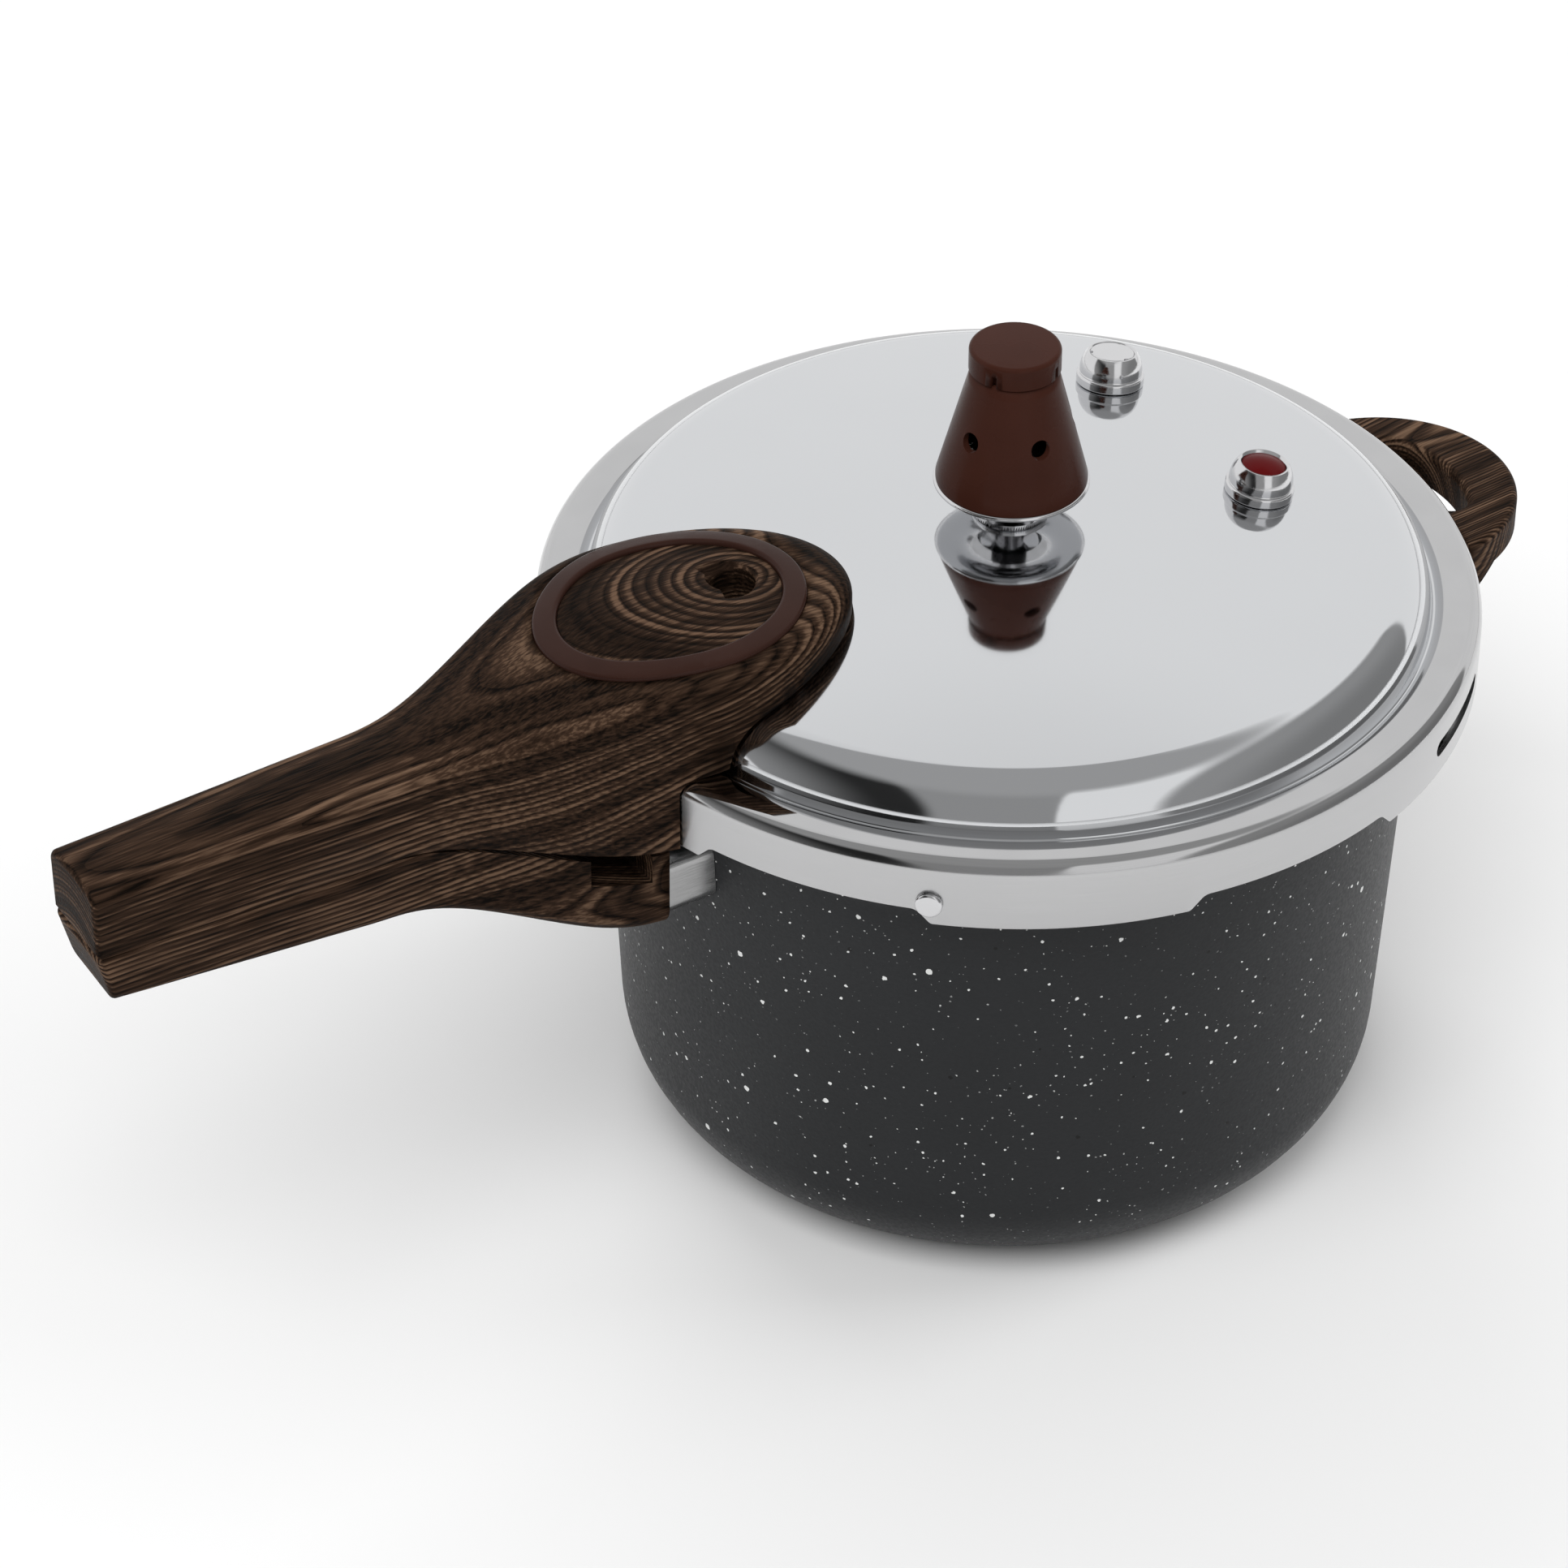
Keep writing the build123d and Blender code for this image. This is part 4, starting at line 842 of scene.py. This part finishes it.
@dataclass
class Lid:
    """Polished lid with its handle and fittings, in millimetres."""

    sheet: float = 2.6
    vent_hole: float = 5.1
    dome_edge: float = 102.5
    dome_rise: float = 9.5
    dome_segments: int = 28
    shoulder: Corner = Corner(112.2, 174.7, 13.0)
    valley: Corner = Corner(114.6, 161.4, 0.85)
    flange_inner: Corner = Corner(117.4, 164.0, 1.7)
    flange_edge: Corner = Corner(128.0, 164.0, 4.0)
    foot_radius: float = 118.2
    foot_height: float = 3.7
    lug_count: int = 6
    first_lug: float = -116.5
    gap_step: float = 4.6
    gap_top_half: float = 29.0
    gap_slant: float = 4.3
    gap_round: float = 3.0
    slot_length: float = 36.0
    slot_height: float = 5.0
    slot_above_foot: float = 2.5
    slot_angle: float = -53.0
    slot_rounding: float = 0.98
    slot_near: float = 0.93
    skirt_round: float = 0.6
    inner_round: float = 1.4
    inner_step: float = 0.9
    shoulder_drop: float = 1.1
    cut_near: float = 0.8
    cut_far: float = 1.1
    cut_below: float = 1.0
    mouth_below: float = 0.05
    crisp: float = 32.0

    def dome(self, top: float, drop: float) -> List[Corner]:
        """Points over the dome from the vent hole outwards.

        Args:
            top: height of its outer face on the axis.
            drop: how far below the outer face they lie.

        Returns:
            The points.
        """
        ball = (self.dome_edge**2 + self.dome_rise**2) / (2.0 * self.dome_rise)
        half = math.asin(self.dome_edge / ball)
        start = math.asin(self.vent_hole / ball)
        count = self.dome_segments
        angles = [start + (half - start) * i / count for i in range(count + 1)]
        reach = ball - drop
        return [Corner(reach * math.sin(a), top - ball + reach * math.cos(a)) for a in angles]

    def shell(self, shop: Workshop) -> None:
        """Turns the lid's sheet, cuts its skirt and puts it in the node's place."""
        low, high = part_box("lid_shell")
        bottom, top = low[2] / MM, high[2] / MM
        sheet = self.sheet
        inside = self.flange_edge.radius - sheet
        outer = self.dome(top, 0.0)
        inner = self.dome(top, sheet)
        profile = outer + [self.shoulder, self.valley, self.flange_inner, self.flange_edge]
        profile += [
            Corner(self.flange_edge.radius, bottom, self.skirt_round),
            Corner(self.foot_radius, bottom),
            Corner(self.foot_radius, bottom + self.foot_height),
            Corner(inside, bottom + self.foot_height),
            Corner(inside, self.flange_edge.height - sheet, self.inner_round),
            Corner(self.flange_inner.radius + self.inner_step, self.flange_inner.height - sheet),
            Corner(self.valley.radius + self.inner_step, self.valley.height - sheet),
            Corner(self.valley.radius - sheet, self.valley.height - sheet),
            Corner(
                self.shoulder.radius - sheet,
                self.shoulder.height - self.shoulder_drop * sheet,
                self.shoulder.rounding - sheet,
            ),
        ]
        profile += inner[::-1]
        piece = Workshop.piece("lid_shell_skin", Turnery.turned(profile), self.crisp)
        Turnery.cut(piece, self.cutters(bottom), self.crisp)
        shop.paint(piece, Look.SHEET)
        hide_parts("lid_shell")
        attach(piece, "lid")

    def cutters(self, bottom: float) -> List[bmesh.types.BMesh]:
        """Prisms for the gaps between the feet and for the slot in one foot.

        Args:
            bottom: height of the skirt's lower edge.

        Returns:
            The prisms.
        """
        pitch = 360.0 / self.lug_count
        near, far = self.cut_near * self.flange_edge.radius, self.cut_far * self.flange_edge.radius
        mouth = self.gap_top_half + self.gap_slant
        side = [
            Corner(mouth + self.gap_round, bottom - self.cut_below),
            Corner(mouth + self.gap_round, bottom - self.mouth_below),
            Corner(mouth, bottom - self.mouth_below, self.gap_round),
            Corner(self.gap_top_half, bottom + self.gap_step, self.gap_round),
        ]
        gap = side + [Corner(-c.radius, c.height, c.rounding) for c in reversed(side)]
        prisms = [
            Turnery.prism(gap, near, far, self.first_lug + pitch * (i + 0.5))
            for i in range(self.lug_count)
        ]
        middle = bottom + self.foot_height + self.slot_above_foot + self.slot_height / 2.0
        half, end = self.slot_length / 2.0, self.slot_height / 2.0
        rounding = self.slot_rounding * end
        slot = [
            Corner(half, middle - end, rounding),
            Corner(half, middle + end, rounding),
            Corner(-half, middle + end, rounding),
            Corner(-half, middle - end, rounding),
        ]
        near = self.slot_near * self.flange_edge.radius
        prisms.append(Turnery.prism(slot, near, far, self.slot_angle))
        return prisms

    def dress(self, shop: Workshop) -> None:
        """Builds the sheet and gives the lid's other pieces their finishes."""
        self.shell(shop)
        shop.smooth("stop_rivet", Look.BRIGHT)
        shop.smooth("upper_handle", Look.WOOD)
        shop.smooth("oval_cover", Look.COVER_WOOD)
        shop.smooth("trim_ring", Look.RING)
        shop.smooth("vent_pipe", Look.BRIGHT)
        shop.paint_nodes(Look.RUBBER, "sealing_ring", "head_screw_seal")
        shop.paint_nodes(Look.BRIGHT, "vent_strainer")
        shop.paint_nodes(
            Look.STEEL,
            "lid_bracket",
            "lid_bracket_rivets",
            "upper_handle_screws",
            "vent_nut",
            "indicator_nut",
            "relief_nut",
            "interlock_nut",
            "interlock_bush",
        )


@dataclass
class Weight:
    """Weight on the vent pipe."""

    def dress(self, shop: Workshop) -> None:
        """Gives the weight's pieces their finishes."""
        shop.smooth("weight_core", Look.BRIGHT)
        shop.smooth("weight_bonnet", Look.BROWN)
        shop.smooth("weight_cap", Look.BROWN)


@dataclass
class Valves:
    """Pressure indicator, relief valve and interlock pin."""

    relief_joint: str = "relief_lift"

    def compress(self, spring: bpy.types.Object) -> None:
        """Works out the share of the spring's length left after the piston's travel and gives the
        spring its own mesh; the spring is not shortened.

        Args:
            spring: the spring's piece.
        """
        joint = next(row for row in frame["joints"] if row["name"] == self.relief_joint)
        axis = Vector(joint["axis"]).normalized()
        heights = [axis.dot(vert.co) for vert in spring.data.vertices]
        length = max(heights) - min(heights)
        share = 1.0 - joint["range_m"][1] / length
        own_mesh(spring)

    def dress(self, shop: Workshop) -> None:
        """Gives the valves' pieces their finishes."""
        shop.smooth("indicator_housing", Look.BRIGHT)
        shop.smooth("relief_housing", Look.BRIGHT)
        shop.smooth("relief_plug", Look.BRIGHT)
        shop.smooth("indicator_float", Look.RED)
        self.compress(shop.smooth("relief_spring", Look.STEEL))
        shop.paint_nodes(Look.STEEL, "relief_piston")
        shop.paint_nodes(Look.BRIGHT, "interlock_pin")


@dataclass(frozen=True)
class Lamp:
    """One soft area lamp."""

    name: str
    place: Point
    size: float
    watts: float
    mirrored: bool = False
    aim: Point = (0.0, 0.0, 0.1)

    def light(self) -> None:
        """Hangs the lamp."""
        data = bpy.data.lights.new(self.name, "AREA")
        data.shape = "SQUARE"
        data.size = self.size
        data.energy = self.watts
        lamp = bpy.data.objects.new(self.name, data)
        lamp.visible_glossy = self.mirrored
        bpy.context.scene.collection.objects.link(lamp)
        direction = Vector(self.aim) - Vector(self.place)
        turn = direction.to_track_quat("-Z", "Y").to_matrix().to_4x4()
        lamp.matrix_world = Matrix.Translation(self.place) @ turn


@dataclass(frozen=True)
class RoomHood:
    """Room round the cooker, seen only in polished metal: white ahead, dim behind the camera."""

    reach: float = 2.6
    low_angle: float = 1.0
    steps: int = 48
    crisp: float = 60.0
    behind: Span = (-0.515, -0.857)
    right: Span = (0.857, -0.515)
    lean: float = 0.46
    skew: float = 0.5
    dark: float = 0.028
    middle: float = 0.36
    corner: float = 0.26
    window: float = 1.5
    ceiling: float = 0.44
    zenith: float = 0.84
    white: Colour = (1.0, 1.0, 1.0)
    far_left: Span = (-1.0, -0.5)
    dark_edge: Span = (-0.38, -0.30)
    window_start: Span = (0.16, 0.20)
    window_end: Span = (0.48, 0.62)
    far_right: Span = (0.70, 0.95)
    ceiling_edge: Span = (0.74, 0.90)
    white_edge: Span = (-0.02, 0.02)
    zenith_edge: Span = (0.75, 1.0)

    def hang(self) -> None:
        """Hangs the hood."""
        work = bmesh.new()
        low = math.radians(self.low_angle)
        rise = [low + (math.pi / 2.0 - low) * i / self.steps for i in range(self.steps + 1)]
        arc = [(self.reach * math.cos(a), 0.0, self.reach * math.sin(a)) for a in rise]
        verts = [work.verts.new(point) for point in arc]
        for first, second in zip(verts, verts[1:]):
            work.edges.new((first, second))
        bmesh.ops.spin(
            work,
            geom=work.verts[:] + work.edges[:],
            cent=(0.0, 0.0, 0.0),
            axis=(0.0, 0.0, 1.0),
            angle=2.0 * math.pi,
            steps=2 * self.steps,
            use_merge=True,
        )
        bmesh.ops.remove_doubles(work, verts=work.verts, dist=MM)
        bmesh.ops.recalc_face_normals(work, faces=work.faces)
        hood = Workshop.piece("room_hood", work, self.crisp)
        hood.data.materials.append(self.paint())
        hood.visible_camera = False
        hood.visible_diffuse = False
        hood.visible_shadow = False

    def paint(self) -> bpy.types.Material:
        """Glow of a dark wall, grey walls and a window under a grey ceiling."""
        graph = Graph.of_material("room_glow")
        x, y, z = graph.split(graph.stretch(graph.millimetres(), (MM / self.reach,) * 3))
        back = x * self.behind[0] + y * self.behind[1]
        side = x * self.right[0] + y * self.right[1]
        glass = self.window - self.middle
        wall = side.ramp(*self.dark_edge, self.dark, self.middle)
        wall = wall + side.ramp(*self.far_left, self.middle - self.dark, 0.0)
        wall = wall + side.ramp(*self.far_right, 0.0, self.corner - self.middle)
        wall = wall + side.ramp(*self.window_start, 0.0, glass)
        wall = wall + side.ramp(*self.window_end, 0.0, -glass)
        over = z.ramp(*self.ceiling_edge)
        room = wall * (1.0 - over) + over * self.ceiling
        ahead = (back + z * self.lean + side * self.skew).ramp(*self.white_edge, 1.0, 0.0)
        level = room * (1.0 - ahead) + ahead * z.ramp(*self.zenith_edge, 1.0, self.zenith)
        return graph.finish(
            Base_Color=(0.0, 0.0, 0.0),
            Roughness=1.0,
            Specular_IOR_Level=0.0,
            Emission_Color=graph.mix(level, (0.0, 0.0, 0.0), self.white),
            Emission_Strength=1.0,
        )


@dataclass(frozen=True)
class Studio:
    """Pale floor, soft lamps and the photograph's camera."""

    camera_place: Point = (-0.6642, -0.9875, 0.9953)
    right: Point = (0.8572, -0.5150, 0.0)
    up: Point = (0.3113, 0.5182, 0.7966)
    lens_mm: float = 122.8
    sensor_mm: float = 36.0
    floor_size: float = 30.0
    floor_colour: Colour = (0.86, 0.86, 0.86)
    floor_shade: float = 0.99
    floor_roughness: float = 0.9
    haze_scale: float = 0.002
    crisp: float = 30.0
    world_level: float = 0.55
    backdrop_level: float = 1.0
    lamps: Tuple[Lamp, ...] = (
        Lamp("key_lamp", (-1.2, -0.9, 2.2), 1.6, 42.0),
        Lamp("side_lamp", (1.9, -0.6, 1.3), 1.2, 18.0),
        Lamp("back_lamp", (0.3, 2.0, 1.8), 1.6, 24.0),
    )

    def floor(self) -> None:
        """Lays the floor."""
        work = bmesh.new()
        bmesh.ops.create_grid(work, x_segments=1, y_segments=1, size=self.floor_size / 2)
        slab = Workshop.piece("floor", work, self.crisp)
        graph = Graph.of_material("floor_paint")
        haze = graph.noise(graph.millimetres(), self.haze_scale)
        tint = graph.mix(haze, shade(self.floor_colour, self.floor_shade), self.floor_colour)
        slab.data.materials.append(graph.finish(Base_Color=tint, Roughness=self.floor_roughness))

    def world(self) -> None:
        """Lights the room evenly and shows white behind the cooker."""
        graph = Graph(bpy.data.worlds.new("room"))
        rays = ("Is Camera Ray", "Is Glossy Ray", "Is Transmission Ray")
        seen, mirrored, through = graph.add("ShaderNodeLightPath", output=rays)
        level = (seen + mirrored + through).ramp(0.0, 1.0, self.world_level, self.backdrop_level)
        glow = graph.add("ShaderNodeBackground", None, {"Strength": level})
        graph.add("ShaderNodeOutputWorld", None, {"Surface": glow})
        bpy.context.scene.world = graph.owner

    def camera(self) -> None:
        """Sets the camera where the photograph was taken from."""
        data = bpy.data.cameras.new("photo_camera")
        data.sensor_width = self.sensor_mm
        data.lens = self.lens_mm
        data.clip_end = 2.0 * self.floor_size
        eye = bpy.data.objects.new("photo_camera", data)
        bpy.context.scene.collection.objects.link(eye)
        right, up = Vector(self.right).normalized(), Vector(self.up).normalized()
        turn = Matrix((right, up, right.cross(up))).transposed().to_4x4()
        eye.matrix_world = Matrix.Translation(self.camera_place) @ turn
        bpy.context.scene.camera = eye

    def build(self) -> None:
        """Builds the whole studio."""
        bpy.context.scene.view_settings.view_transform = "Standard"
        self.floor()
        self.world()
        RoomHood().hang()
        for lamp in self.lamps:
            lamp.light()
        self.camera()


def main() -> None:
    """Dresses the cooker and builds the studio."""
    logging.basicConfig(level=logging.INFO, format="%(message)s")
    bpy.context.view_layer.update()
    shop = Workshop()
    for assembly in (Pot(), Lid(), Weight(), Valves()):
        assembly.dress(shop)
        LOG.info("dressed %s", type(assembly).__name__)
    Studio().build()


if __name__ == "__main__":
    main()
